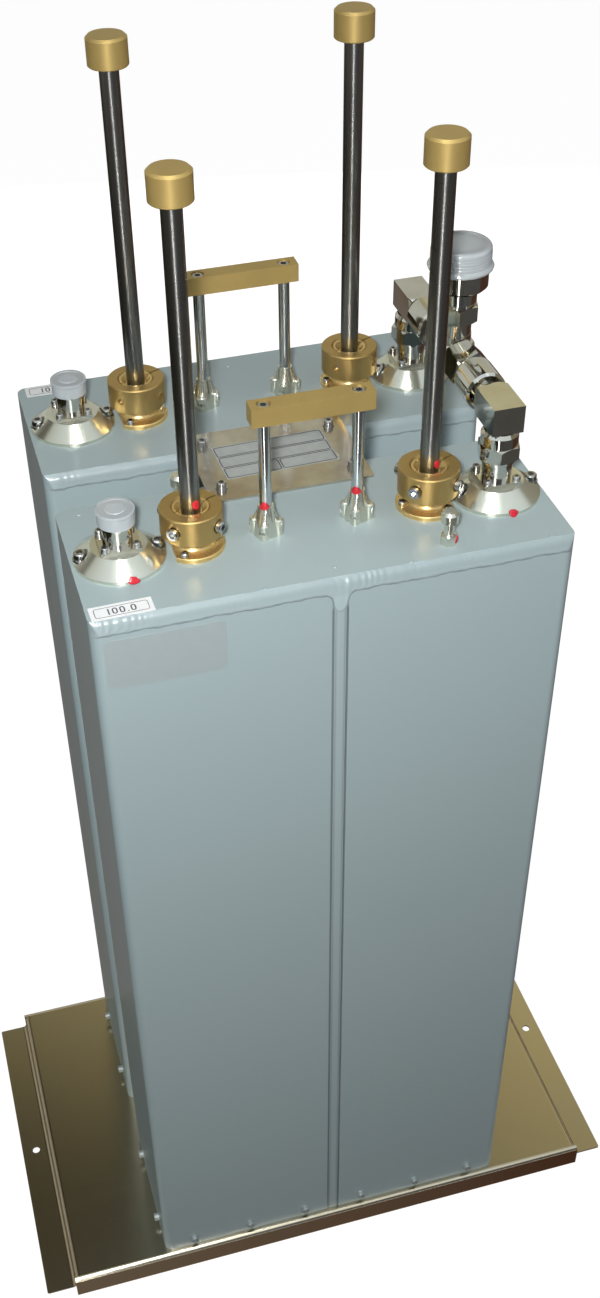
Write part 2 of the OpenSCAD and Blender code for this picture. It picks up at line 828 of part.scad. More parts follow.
// Hexagon bar of height h standing on z = 0, with both ends bevelled.
module bevelled_hex(h) {
  bevel = 2;
  wide = nut_af + 7;
  intersection() {
    rotate(15) cylinder(h = h, r = hex_r, $fn = 6);
    union() {
      cylinder(h = bevel, d1 = nut_af, d2 = wide);
      translate([0, 0, bevel]) cylinder(h = h - 2 * bevel, d = wide);
      translate([0, 0, h - bevel]) cylinder(h = bevel, d1 = wide, d2 = nut_af);
    }
  }
}

// Coupling nut: hexagon below, bevelled round barrel above.
module coupling_nut() {
  bevel = 3;
  barrel = nut_top - nut_z - nut_hex_h;
  barrel_d = nut_af - 0.6;
  color(nickel) difference() {
    translate([0, 0, nut_z]) union() {
      bevelled_hex(nut_hex_h);
      translate([0, 0, nut_hex_h - 1]) cylinder(h = barrel - bevel + 1, d = barrel_d);
      translate([0, 0, nut_hex_h + barrel - bevel]) cylinder(h = bevel, d1 = barrel_d, d2 = nut_af - 5);
    }
    translate([0, 0, nut_z - over]) cylinder(h = conn_z + 3 - nut_z + over, d = thread_d + 2 * slip);
    translate([0, 0, nut_z]) cylinder(h = nut_top, d = elbow_neck_d + 2 * slip);
  }
}

// Nut on an elbow's tube: hexagon at the tee, groove and bevelled round barrel towards the elbow.
module line_nut() {
  groove = 2;
  bevel = 2;
  end = cab_y - tee_half - nut_gap;
  len = end - block_in - ring_w;
  mid = line_hex_h + groove;
  color(nickel) translate([0, end, line_z]) rotate([90, 0, 0]) difference() {
    union() {
      bevelled_hex(line_hex_h);
      translate([0, 0, line_hex_h - 1]) cylinder(h = groove + 2, d = nut_af - 2);
      translate([0, 0, mid]) cylinder(h = bevel, d1 = line_nut_d - 2 * bevel, d2 = line_nut_d);
      translate([0, 0, mid + bevel]) cylinder(h = len - mid - 2 * bevel, d = line_nut_d);
      translate([0, 0, len - bevel]) cylinder(h = bevel, d1 = line_nut_d, d2 = line_nut_d - 2 * bevel);
    }
    translate([0, 0, -over]) cylinder(h = len + 2 * over, d = ring_d + 2 * slip);
  }
}

module coupling_nuts() {
  for (s = [0, 1]) mirror([0, s, 0]) on_top(hub_x, -1) {
    coupling_nut();
    line_nut();
  }
}

// Square block of the line from y = -back to y = front, its corners bevelled at the front end.
module line_block(back, front) {
  bevel = 4;
  corner = sqrt(block_w * block_w + block_h * block_h) / 2;
  intersection() {
    translate([-block_w / 2, -back, line_z - block_h / 2]) cube([block_w, back + front, block_h]);
    translate([0, 0, line_z]) rotate([-90, 0, 0]) union() {
      translate([0, 0, -back - over]) cylinder(h = back + front - bevel + over, r = 2 * corner);
      translate([0, 0, front - bevel]) cylinder(h = bevel, r1 = corner, r2 = corner - bevel);
    }
  }
}

// Elbow: block bevelled towards the tee, neck below and tube to the tee.
module elbow() {
  color(nickel) {
    line_block(block_out, block_in);
    translate([0, 0, conn_z]) cylinder(h = line_z - conn_z, d = elbow_neck_d);
    translate([0, 0, line_z]) rotate([-90, 0, 0]) cylinder(h = cab_y - tee_half, d = ring_d);
  }
}

module front_elbow() {
  on_top(hub_x, -1) elbow();
}

module rear_elbow() {
  on_top(hub_x, 1) mirror([0, 1, 0]) elbow();
}

// Tee block that joins the two outputs, with a round boss and a neck for the output socket.
module tee_body() {
  color(nickel) translate([hub_x, 0, top_z]) {
    for (s = [0, 1]) mirror([0, s, 0]) line_block(over, tee_half);
    translate([0, 0, line_z]) cylinder(h = tee_top - line_z, r = tee_half);
    translate([0, 0, line_z]) cylinder(h = sock_hex_z - line_z, d = sock_neck_d);
  }
}

// Large output socket: hexagon, grooved ring, round nut and threaded end with its pin.
module output_socket() {
  groove = 2.5;
  bevel = 2.5;
  ring_z = sock_hex_z + sock_hex_h;
  color(nickel) translate([hub_x, 0, top_z]) {
    difference() {
      union() {
        translate([0, 0, sock_hex_z]) bevelled_hex(sock_hex_h);
        translate([0, 0, ring_z - 1]) cylinder(h = groove + 2, d = nut_af - 5);
        translate([0, 0, ring_z + groove]) cylinder(h = sock_nut_z - ring_z - groove + 1, d = nut_af - 1);
        translate([0, 0, sock_nut_z]) cylinder(h = bevel, d1 = sock_nut_d - 2 * bevel, d2 = sock_nut_d);
        translate([0, 0, sock_nut_z + bevel]) cylinder(h = cap_low - sock_nut_z - bevel, d = sock_nut_d);
        translate([0, 0, cap_low - 0.5]) cylinder(h = sock_z - cap_low + 0.5, d = sock_d);
      }
      translate([0, 0, sock_nut_z + 6]) cylinder(h = sock_z, d = 30);
    }
    translate([0, 0, sock_nut_z + 5]) cylinder(h = sock_z - sock_nut_z - 8, d = 13);
  }
}

// Large dust cap with a brim near its lower edge and a rounded, dished top.
module output_cap() {
  skin = 1.6;
  round_r = 4;
  h = sock_z + skin - cap_low;
  r = sock_d / 2 + 0.05;
  side = cap_side_d / 2;
  color(clear) translate([hub_x, 0, top_z + cap_low]) rotate_extrude() difference() {
    union() {
      polygon([[0, 0], [r + 1, 0], [brim_d / 2 - 0.6, brim_up - 1.6], [brim_d / 2, brim_up],
        [brim_d / 2 - 0.6, brim_up + 1.2], [side, brim_up + 2.6], [side, h - round_r], [0, h - round_r]]);
      translate([0, h - round_r - over]) square([side - round_r, round_r + over]);
      translate([side - round_r, h - round_r]) circle(r = round_r);
    }
    translate([-over, -over]) square([r + over, h - skin + over]);
    translate([-over, h - 0.6]) square([side - round_r - 2 + over, over]);
  }
}

// Plate that bridges the two cabinet tops.
module bridge_plate() {
  color(sheet) translate([0, 0, top_z]) difference() {
    linear_extrude(bridge_t) rounded_rect(bridge_w, bridge_d, 1.5);
    bridge_screw_places() cylinder(h = 4 * bridge_t, d = 5.2, center = true);
  }
}

module bridge_screw_places() {
  for (sx = [-1, 1], sy = [-1, 1]) translate([sx * bridge_px / 2, sy * bridge_py / 2, 0]) children();
}

module bridge_screws() {
  color(nickel) translate([0, 0, top_z + bridge_t]) bridge_screw_places() {
    washer(5, 1);
    translate([0, 0, 0.9]) cap_screw(5, bridge_t + 0.6);
  }
}

// Sampling probes on the front cabinet, half a turn apart.
module probes() {
  r = probe_d / 2;
  color(silver) for (s = [-1, 1]) on_top(s * probe_x, -1) translate([0, -s * probe_y, 0]) {
    cylinder(h = 8, r = 7, $fn = 6);
    translate([0, 0, 8]) cylinder(h = 1.5, r1 = 5.5, r2 = 4.5);
    cylinder(h = probe_h - 9, r = 4.2);
    translate([0, 0, probe_h - 11]) rotate_extrude() polygon([[0, 0], [r - 1.5, 0], [r, 1.5], [r, 8.5],
      [r - 2, 11], [0, 11]]);
  }
}

base_plate();
front_cabinet();
rear_cabinet();
floor_pans();
floor_screws();
front_left_bush();
front_right_bush();
rear_left_bush();
rear_right_bush();
front_left_collar();
front_right_collar();
rear_left_collar();
rear_right_collar();
front_left_rod();
front_right_rod();
rear_left_rod();
rear_right_rod();
front_left_knob();
front_right_knob();
rear_left_knob();
rear_right_knob();
front_left_plunger();
front_right_plunger();
rear_left_plunger();
rear_right_plunger();
resonators();
bush_screws();
collar_screws();
front_coupling_bar();
rear_coupling_bar();
front_coupling_loop();
rear_coupling_loop();
front_bar_screws();
rear_bar_screws();
front_glands();
rear_glands();
gland_screws();
front_input_hub();
rear_input_hub();
front_output_hub();
rear_output_hub();
front_input_connector();
rear_input_connector();
front_output_connector();
rear_output_connector();
hub_screws();
connector_screws();
front_input_cap();
rear_input_cap();
coupling_nuts();
front_elbow();
rear_elbow();
tee_body();
output_socket();
output_cap();
bridge_plate();
bridge_screws();
probes();
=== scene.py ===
"""Looks of a two-channel cavity filter combiner: finishes, weld beads, labels and paint marks."""
import json
import math
import random

import bmesh
import bpy
from mathutils import Euler, Matrix, Vector


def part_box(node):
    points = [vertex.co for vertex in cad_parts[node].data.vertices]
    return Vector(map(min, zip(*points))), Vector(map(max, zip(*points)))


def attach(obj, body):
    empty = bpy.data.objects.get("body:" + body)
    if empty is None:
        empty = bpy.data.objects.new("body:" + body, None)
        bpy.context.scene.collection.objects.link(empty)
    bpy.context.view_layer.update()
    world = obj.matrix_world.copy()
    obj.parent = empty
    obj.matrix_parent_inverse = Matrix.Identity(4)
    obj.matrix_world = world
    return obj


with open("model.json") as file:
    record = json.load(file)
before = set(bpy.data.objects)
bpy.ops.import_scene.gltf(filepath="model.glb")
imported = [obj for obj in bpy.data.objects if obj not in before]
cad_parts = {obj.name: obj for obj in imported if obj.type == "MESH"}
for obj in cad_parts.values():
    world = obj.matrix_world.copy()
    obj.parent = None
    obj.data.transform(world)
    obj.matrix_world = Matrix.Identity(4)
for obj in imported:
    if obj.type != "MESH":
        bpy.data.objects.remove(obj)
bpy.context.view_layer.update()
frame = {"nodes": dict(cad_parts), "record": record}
nodes = frame["nodes"]

MM = 0.001

# Camera, solved from the cabinet and base plate edges
CAMERA_PLACE = (-0.29697, -1.09898, 1.65041)
CAMERA_TURN_DEG = (48.943, 1.110, -15.565)
CAMERA_LENS_MM = 42.246
CAMERA_SENSOR_MM = 36.0
CAMERA_SHIFT = (0.0225, 0.0409)

# Colours, linear: most finishes have a main tone and one that they drift to
PAINT_GREY = (0.345, 0.430, 0.445)
PAINT_COOL = (0.325, 0.415, 0.440)
SHEET_STEEL = (0.570, 0.515, 0.390)
SHEET_WARM = (0.610, 0.515, 0.350)
BRIDGE_STEEL = (0.640, 0.620, 0.560)
BRIDGE_WARM = (0.480, 0.410, 0.330)
ROD_STEEL = (0.285, 0.282, 0.270)
ROD_DARK = (0.260, 0.257, 0.245)
GUIDE_STEEL = (0.660, 0.675, 0.670)
GUIDE_DULL = (0.600, 0.610, 0.600)
GOLD_ANODISED = (0.500, 0.360, 0.124)
GOLD_DULL = (0.450, 0.320, 0.110)
BRASS = (0.700, 0.490, 0.185)
BRASS_PALE = (0.740, 0.550, 0.250)
BRASS_SATIN = (0.530, 0.365, 0.138)
BRASS_SOFT = (0.495, 0.330, 0.115)
SILVER = (0.710, 0.720, 0.625)
SILVER_TARNISH = (0.680, 0.670, 0.535)
NICKEL = (0.680, 0.670, 0.610)
NICKEL_WARM = (0.620, 0.585, 0.490)
BRIGHT_ZINC = (0.560, 0.560, 0.560)
ZINC_DULL = (0.460, 0.460, 0.450)
SCREW_GREY = (0.330, 0.375, 0.375)
SCREW_DULL = (0.290, 0.335, 0.335)
ALUMINIUM = (0.700, 0.700, 0.690)
ALUMINIUM_DULL = (0.600, 0.600, 0.580)
CAP_PLASTIC = (0.690, 0.735, 0.750)
CAP_MILKY = (0.640, 0.705, 0.750)
LABEL_WHITE = (0.820, 0.840, 0.850)
LABEL_SHADE = (0.760, 0.790, 0.800)
LABEL_INK = (0.030, 0.030, 0.035)
INK_WORN = (0.050, 0.050, 0.060)
STICKER_GREY = (0.338, 0.398, 0.405)
STICKER_SHADE = (0.322, 0.382, 0.390)
PLATE_GREY = (0.390, 0.420, 0.410)
PLATE_SHADE = (0.340, 0.365, 0.360)
# Painted shade for the thin line under the weld beads
CREASE_PAINTED_SHADE = (0.220, 0.275, 0.290)
CREASE_PAINTED_SHADE_DEEP = (0.210, 0.265, 0.280)
# Painted shade in the grooves beside the partition edge
SEAM_PAINTED_SHADE = (0.155, 0.195, 0.205)
# Weld paint: the grey tone is painted shade that darkens the bead, the light tone is where the weld runs
# down the front wall
WELD_SHADED_GREY = (0.285, 0.355, 0.370)
WELD_LIGHT = (0.390, 0.485, 0.500)
RED_SEAL = (0.560, 0.020, 0.035)
RED_SEAL_DEEP = (0.450, 0.012, 0.025)

PAINT_ROUGHNESS = 0.27
WELD_ROUGHNESS = 0.33
SEAM_ROUGHNESS = 0.40
# How far below the cabinet top the weld's paint is all light, and all grey with painted shade
WELD_LIGHT_DROP, WELD_SHADED_DROP = 17 * MM, 7 * MM
# How far from the partition edge's middle its paint starts to darken with painted shade, and is darkest
SEAM_PAINT_X, SEAM_PAINTED_SHADE_X = 2.4 * MM, 5.6 * MM
# How far the grain's noise is stretched along each axis
ALONG_X = (6.0, 900.0, 900.0)
ROUND_Z = (60.0, 60.0, 2600.0)


# Node wiring

def feed(tree, value, socket):
    """Links a socket, or sets a plain value."""
    if isinstance(value, bpy.types.NodeSocket):
        tree.links.new(value, socket)
    elif socket.type == "RGBA" and len(value) == 3:
        socket.default_value = (*value, 1.0)
    else:
        socket.default_value = value


def place(tree, kind, inputs=None, **settings):
    """Adds a node, sets its properties and feeds its inputs by name or number."""
    node = tree.nodes.new(kind)
    for key, value in settings.items():
        setattr(node, key, value)
    for key, value in (inputs or {}).items():
        feed(tree, value, node.inputs[key])
    return node


def own_place(tree):
    """Place on a piece, in the piece's own frame."""
    return place(tree, "ShaderNodeTexCoord").outputs["Object"]


def blend(tree, share, first, second):
    """Colour between two others."""
    mixed = place(tree, "ShaderNodeMix", {"Factor": share, "A": first, "B": second}, data_type="RGBA")
    return mixed.outputs["Result"]


def new_group(name, inputs, outputs):
    """A shader node group with named sockets; returns the group, its input node and its output node."""
    group = bpy.data.node_groups.new(name, "ShaderNodeTree")
    kinds = {"value": "NodeSocketFloat", "color": "NodeSocketColor", "vector": "NodeSocketVector"}
    for label, kind in inputs:
        group.interface.new_socket(label, in_out="INPUT", socket_type=kinds[kind])
    for label, kind in outputs:
        group.interface.new_socket(label, in_out="OUTPUT", socket_type=kinds[kind])
    return group, group.nodes.new("NodeGroupInput"), group.nodes.new("NodeGroupOutput")


def use(tree, group, inputs):
    """Places a node group in a material with its own values."""
    return place(tree, "ShaderNodeGroup", inputs, node_tree=group)


def cloudy_tone_group():
    """Two colours drifting into each other in soft clouds."""
    group, entry, leave = new_group("Cloudy Tone", [("Main", "color"), ("Drift", "color"),
        ("Scale", "value"), ("Amount", "value")], [("Color", "color")])
    cloud = place(group, "ShaderNodeTexNoise", {"Vector": own_place(group),
        "Scale": entry.outputs["Scale"], "Detail": 3.0, "Roughness": 0.55})
    spread = place(group, "ShaderNodeMapRange", {"Value": cloud.outputs["Fac"], "From Min": 0.35,
        "From Max": 0.65})
    share = place(group, "ShaderNodeMath", {0: spread.outputs["Result"], 1: entry.outputs["Amount"]},
        operation="MULTIPLY")
    tone = blend(group, share.outputs[0], entry.outputs["Main"], entry.outputs["Drift"])
    group.links.new(tone, leave.inputs["Color"])
    return group


def drawn_grain_group():
    """Fine streaks along one direction, as left by drawing, brushing or turning."""
    group, entry, leave = new_group("Drawn Grain", [("Stretch", "vector"), ("Roughness", "value"),
        ("Swing", "value")], [("Streak", "value"), ("Roughness", "value")])
    stretched = place(group, "ShaderNodeVectorMath", {0: own_place(group), 1: entry.outputs["Stretch"]},
        operation="MULTIPLY")
    streak = place(group, "ShaderNodeTexNoise", {"Vector": stretched.outputs[0], "Scale": 1.0,
        "Detail": 4.0, "Roughness": 0.6})
    centred = place(group, "ShaderNodeMath", {0: streak.outputs["Fac"], 1: 0.5}, operation="SUBTRACT")
    swing = place(group, "ShaderNodeMath", {0: centred.outputs[0], 1: entry.outputs["Swing"],
        2: entry.outputs["Roughness"]}, operation="MULTIPLY_ADD")
    group.links.new(streak.outputs["Fac"], leave.inputs["Streak"])
    group.links.new(swing.outputs[0], leave.inputs["Roughness"])
    return group


def handling_marks_group():
    """Blotches of touch and polish that change the gloss."""
    group, entry, leave = new_group("Handling Marks", [("Scale", "value"), ("Clean", "value"),
        ("Marked", "value")], [("Roughness", "value")])
    blotch = place(group, "ShaderNodeTexNoise", {"Vector": own_place(group),
        "Scale": entry.outputs["Scale"], "Detail": 5.0, "Roughness": 0.65})
    level = place(group, "ShaderNodeMapRange", {"Value": blotch.outputs["Fac"], "From Min": 0.40,
        "From Max": 0.68, "To Min": entry.outputs["Clean"], "To Max": entry.outputs["Marked"]})
    group.links.new(level.outputs["Result"], leave.inputs["Roughness"])
    return group


CLOUDY_TONE = cloudy_tone_group()
DRAWN_GRAIN = drawn_grain_group()
HANDLING_MARKS = handling_marks_group()


# Finishes

def new_finish(name, metallic=0.0):
    """A material with its Principled shader, ready to be fed."""
    material = bpy.data.materials.new(name)
    material.use_nodes = True
    shader = material.node_tree.nodes["Principled BSDF"]
    shader.inputs["Metallic"].default_value = metallic
    return material, material.node_tree, shader


def cloudy_base(tree, shader, main, drift, scale, amount):
    """Gives the shader a colour that drifts in soft clouds."""
    tone = use(tree, CLOUDY_TONE, {"Main": main, "Drift": drift, "Scale": scale, "Amount": amount})
    tree.links.new(tone.outputs["Color"], shader.inputs["Base Color"])


def marked_gloss(tree, shader, scale, clean, marked):
    """Gives the shader a gloss with touch marks."""
    gloss = use(tree, HANDLING_MARKS, {"Scale": scale, "Clean": clean, "Marked": marked})
    tree.links.new(gloss.outputs["Roughness"], shader.inputs["Roughness"])


def bump_from(tree, shader, height, distance, strength):
    """Gives the shader a fine relief."""
    bump = place(tree, "ShaderNodeBump", {"Height": height, "Distance": distance, "Strength": strength})
    tree.links.new(bump.outputs["Normal"], shader.inputs["Normal"])


def sprayed_paint(name, main, drift, cloud_scale, cloud_share, roughness):
    """Sprayed paint with a faint orange peel."""
    material, tree, shader = new_finish(name)
    cloudy_base(tree, shader, main, drift, cloud_scale, cloud_share)
    peel = place(tree, "ShaderNodeTexNoise", {"Vector": own_place(tree), "Scale": 420.0, "Detail": 2.0})
    shader.inputs["Roughness"].default_value = roughness
    bump_from(tree, shader, peel.outputs["Fac"], distance=0.4 * MM, strength=0.10)
    return material


def shaded_paint(name, axis, absolute, low, high, low_color, high_color, roughness):
    """Paint that goes from one tone to another along an axis, or to both sides of the middle."""
    material, tree, shader = new_finish(name)
    along = place(tree, "ShaderNodeSeparateXYZ", {0: own_place(tree)}).outputs[axis]
    if absolute:
        along = place(tree, "ShaderNodeMath", {0: along}, operation="ABSOLUTE").outputs[0]
    share = place(tree, "ShaderNodeMapRange", {"Value": along, "From Min": low, "From Max": high})
    tone = blend(tree, share.outputs["Result"], low_color, high_color)
    tree.links.new(tone, shader.inputs["Base Color"])
    shader.inputs["Roughness"].default_value = roughness
    return material


def weld_shaded_coat(top):
    """Paint over the weld with painted shade: darker on the bead than where it runs down the front wall."""
    return shaded_paint("weld_shaded_paint", "Z", False, top - WELD_LIGHT_DROP, top - WELD_SHADED_DROP, WELD_LIGHT,
        WELD_SHADED_GREY, WELD_ROUGHNESS)


def painted_seam_shade_coat():
    """Cabinet paint with painted shade that darkens it towards the two grooves beside the partition edge.
    """
    return shaded_paint("painted_seam_shade", "X", True, SEAM_PAINT_X, SEAM_PAINTED_SHADE_X, PAINT_GREY, SEAM_PAINTED_SHADE,
        SEAM_ROUGHNESS)


def streaked_metal(name, main, drift, stretch, roughness, swing, cloud_scale, cloud_share=0.7,
                   bump_strength=0.05, metallic=1.0):
    """Metal with directional grain, a drifting tone and streaked gloss."""
    material, tree, shader = new_finish(name, metallic=metallic)
    cloudy_base(tree, shader, main, drift, cloud_scale, cloud_share)
    grain = use(tree, DRAWN_GRAIN, {"Stretch": stretch, "Roughness": roughness, "Swing": swing})
    tree.links.new(grain.outputs["Roughness"], shader.inputs["Roughness"])
    bump_from(tree, shader, grain.outputs["Streak"], distance=0.2 * MM, strength=bump_strength)
    return material


def plated_metal(name, main, drift, clean, marked, cloud_scale=40.0, cloud_share=0.8, metallic=1.0):
    """Smooth plated or polished metal with touch marks."""
    material, tree, shader = new_finish(name, metallic=metallic)
    cloudy_base(tree, shader, main, drift, cloud_scale, cloud_share)
    marked_gloss(tree, shader, 60.0, clean, marked)
    return material


def dust_cap_plastic():
    """Milky plastic that lets some light through."""
    material, tree, shader = new_finish("dust_cap_plastic")
    cloudy_base(tree, shader, CAP_PLASTIC, CAP_MILKY, scale=30.0, amount=0.8)
    marked_gloss(tree, shader, scale=30.0, clean=0.11, marked=0.15)
    shader.inputs["IOR"].default_value = 1.50
    shader.inputs["Transmission Weight"].default_value = 0.45
    return material


def printed_sheet(name, main, drift, clean, marked):
    """Label stock, ink or seal paint with a slightly uneven tone."""
    material, tree, shader = new_finish(name)
    cloudy_base(tree, shader, main, drift, scale=120.0, amount=0.8)
    marked_gloss(tree, shader, 150.0, clean, marked)
    return material


finishes = {
    "cabinet_paint": sprayed_paint("cabinet_paint", PAINT_GREY, PAINT_COOL, cloud_scale=3.0,
        cloud_share=0.3, roughness=PAINT_ROUGHNESS),
    "base_sheet": streaked_metal("base_sheet", SHEET_STEEL, SHEET_WARM, ALONG_X, roughness=0.20, swing=0.08,
        cloud_scale=5.0, bump_strength=0.015),
    "bridge_sheet": streaked_metal("bridge_sheet", BRIDGE_STEEL, BRIDGE_WARM, ALONG_X, roughness=0.20,
        swing=0.10, cloud_scale=22.0, cloud_share=0.9, bump_strength=0.02),
    "turned_brass": streaked_metal("turned_brass", BRASS, BRASS_PALE, ROUND_Z, roughness=0.28, swing=0.10,
        cloud_scale=40.0, metallic=0.8),
    "satin_brass": streaked_metal("satin_brass", BRASS_SATIN, BRASS_SOFT, ROUND_Z, roughness=0.39,
        swing=0.08, cloud_scale=40.0, metallic=0.92),
    "rod_steel": streaked_metal("rod_steel", ROD_STEEL, ROD_DARK, ROUND_Z, roughness=0.28, swing=0.04,
        cloud_scale=16.0, cloud_share=0.6, bump_strength=0.003),
    "guide_rod": streaked_metal("guide_rod", GUIDE_STEEL, GUIDE_DULL, ROUND_Z, roughness=0.18, swing=0.05,
        cloud_scale=16.0, cloud_share=0.6, bump_strength=0.003),
    "gold_anodised": streaked_metal("gold_anodised", GOLD_ANODISED, GOLD_DULL, ROUND_Z, roughness=0.46,
        swing=0.10, cloud_scale=30.0, metallic=0.6),
    "silver_plate": plated_metal("silver_plate", SILVER, SILVER_TARNISH, clean=0.19, marked=0.22,
        cloud_scale=25.0, cloud_share=0.5, metallic=0.90),
    "bright_nickel": plated_metal("bright_nickel", NICKEL, NICKEL_WARM, clean=0.05, marked=0.10),
    "fasteners": plated_metal("fasteners", BRIGHT_ZINC, ZINC_DULL, clean=0.14, marked=0.26,
        cloud_scale=120.0),
    "floor_screw_zinc": plated_metal("floor_screw_zinc", SCREW_GREY, SCREW_DULL, clean=0.40, marked=0.52,
        cloud_scale=60.0, cloud_share=0.6, metallic=0.35),
    "bare_aluminium": plated_metal("bare_aluminium", ALUMINIUM, ALUMINIUM_DULL, clean=0.30, marked=0.42),
    "dust_cap": dust_cap_plastic(),
}
label_stock = printed_sheet("label_stock", LABEL_WHITE, LABEL_SHADE, clean=0.40, marked=0.50)
label_ink = printed_sheet("label_ink", LABEL_INK, INK_WORN, clean=0.45, marked=0.55)
sticker_film = printed_sheet("sticker_film", STICKER_GREY, STICKER_SHADE, clean=0.30, marked=0.38)
plate_print = printed_sheet("plate_print", PLATE_GREY, PLATE_SHADE, clean=0.34, marked=0.44)
# Painted shade along the lower edge of the weld beads, with a slightly uneven tone
painted_crease_shade = printed_sheet("painted_crease_shade", CREASE_PAINTED_SHADE, CREASE_PAINTED_SHADE_DEEP, clean=0.50, marked=0.60)
seal_paint = printed_sheet("seal_paint", RED_SEAL, RED_SEAL_DEEP, clean=0.25, marked=0.38)
painted_seam_shade = painted_seam_shade_coat()


def finish_for(node, slot):
    """The finish of a CAD node: its slot's own, apart from three kinds of parts that look different."""
    if node.endswith("_collar"):
        return finishes["satin_brass"]
    if node.endswith("_coupling_loop"):
        return finishes["guide_rod"]
    if node == "floor_screws":
        return finishes["floor_screw_zinc"]
    return finishes[slot]


for part in frame["record"]["subparts"]:
    mesh = nodes[part["node"]].data
    mesh.materials.clear()
    mesh.materials.append(finish_for(part["node"], part["material_slot"]))


# Places taken from the frame

front_low, front_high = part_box("front_cabinet")
rear_low, rear_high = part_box("rear_cabinet")
top_z = front_high.z
bridge_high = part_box("bridge_plate")[1]


def middle(node):
    """Middle of a node's box."""
    low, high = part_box(node)
    return (low + high) / 2


def top_axis(node):
    """Upright axis through the middle of a node, as x and y."""
    spot = middle(node)
    return spot.x, spot.y


# Shapes that the pieces share

def finish_piece(name, shape, material, body="chassis", smooth=True):
    """Turns a bmesh into a piece that rides on a body."""
    mesh = bpy.data.meshes.new(name)
    bmesh.ops.recalc_face_normals(shape, faces=shape.faces)
    shape.to_mesh(mesh)
    shape.free()
    for face in mesh.polygons:
        face.use_smooth = smooth
    mesh.materials.append(material)
    piece = bpy.data.objects.new(name, mesh)
    bpy.context.scene.collection.objects.link(piece)
    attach(piece, body)


def smooth_step(low, high, value):
    """Goes gently from 0 at low to 1 at high."""
    share = min(max((value - low) / (high - low), 0.0), 1.0)
    return share * share * (3 - 2 * share)


def hump(share, up, down):
    """Goes gently from 0 to 1 over the span up, and back to 0 over the span down."""
    return smooth_step(*up, share) * (1 - smooth_step(*down, share))


def span(start, end, count):
    """Even steps from start to end, both included."""
    return [start + (end - start) * i / count for i in range(count + 1)]


def full_turn(count):
    """Even angles once round."""
    return [math.tau * i / count for i in range(count)]


def net(shape, rows):
    """Faces between rows of points."""
    made = [[shape.verts.new(point) for point in row] for row in rows]
    for a, b in zip(made, made[1:]):
        for j in range(len(a) - 1):
            shape.faces.new((a[j], b[j], b[j + 1], a[j + 1]))


def band(shape, low_ring, high_ring):
    """Faces between two closed rings of vertices."""
    count = len(low_ring)
    for i in range(count):
        k = (i + 1) % count
        shape.faces.new((low_ring[i], low_ring[k], high_ring[k], high_ring[i]))


def dome(shape, tip, rings):
    """Closed dome from its tip and the rings of points round it; one face closes the last ring."""
    crown = shape.verts.new(tip)
    made = [[shape.verts.new(point) for point in ring] for ring in rings]
    first = made[0]
    for here, there in zip(first, first[1:] + first[:1]):
        shape.faces.new((crown, here, there))
    for inner, outer in zip(made, made[1:]):
        band(shape, outer, inner)
    shape.faces.new(made[-1][::-1])


# Weld beads along the front top edges

# The weld's section: height down the front, depth over the top and radius of its rounded face
WELD_H, WELD_IN, WELD_R = 13 * MM, 5 * MM, 20 * MM
WELD_CHORD = math.hypot(WELD_H, WELD_IN)
WELD_ARC = 2 * WELD_R * math.asin(WELD_CHORD / 2 / WELD_R)
# Stretch over which the weld's face turns onto the top plate, before and after the end of its arc
TURN_BEFORE, TURN_AFTER = 1.2 * MM, 0.8 * MM
CORNER_R = 9 * MM
# How deep the bead's edges sink in, how far it stands out, where it ends and fades out, and its columns
BEAD_ROOT = 0.12 * MM
BEAD_PROUD = 0.95 * MM
BEAD_END = 1.5 * MM
BEAD_FADE = 12 * MM
BEAD_COLUMNS = 900
# Places across the bead, from its lower edge to its upper one
BEAD_STEPS = (0, 0.015, 0.035, 0.06, 0.1, 0.16, 0.24, 0.34, 0.45, 0.56, 0.66, 0.75, 0.83, 0.9, 0.95, 1.0)
# Where across the bead it rises and falls, and where its ripples begin and end
BEAD_RISE = ((0.0, 0.07), (0.6, 1.0))
RIPPLE_REACH = ((0.02, 0.3), (0.93, 1.0))
# Ripples: distance between them, how far they bow along X, their height and that of the lumps
BEAD_RIPPLE = 6.6 * MM
RIPPLE_BOW = 6.0 * MM
RIPPLE_H = 0.17 * MM
LUMP_H = 0.10 * MM
# Share of the ripples' height, on average and at least
SWELL_MEAN, SWELL_LEAST = 0.35, 0.1
# How far the bead goes onto the top plate on average, mm
UPPER_EDGE_MEAN = 0.9
# Waves of an unsteady hand: size, number of the phase and radians per metre; edges and the painted shade
# line in mm
LOWER_EDGE_WAVES = ((0.45, 0, 95), (0.35, 1, 230), (0.28, 2, 780))
UPPER_EDGE_WAVES = ((0.5, 3, 120), (0.3, 4, 310))
SWELL_WAVES = ((0.5, 5, 23), (0.3, 6, 61))
DRIFT_WAVES = ((2.2, 7, 70), (1.6, 8, 170))
CREASE_WAVES = ((0.4, 6, 330),)
PHASES = 9
# Where the bead runs down between the seams: distance from the middle and drop below the bead, mm
TONGUE_EDGE = ((0.0, 19.0), (2.0, 18.4), (3.4, 16.8), (4.6, 14.0), (5.4, 10.5), (5.9, 7.5), (6.4, 5.2),
    (7.2, 3.2), (8.6, 1.7), (10.2, 0.7), (12.0, 0.0))
# Line of painted shade that joins the bead's lower edge with a seam: distance from the middle and drop
# below the bead, mm
CREASE_BEND = ((6.0, 15.5), (6.1, 11.0), (6.4, 8.0), (6.9, 5.7), (7.7, 3.8), (9.0, 2.2), (10.5, 1.1),
    (12.0, 0.4))
CREASE_BEND_X = CREASE_BEND[-1][0] * MM
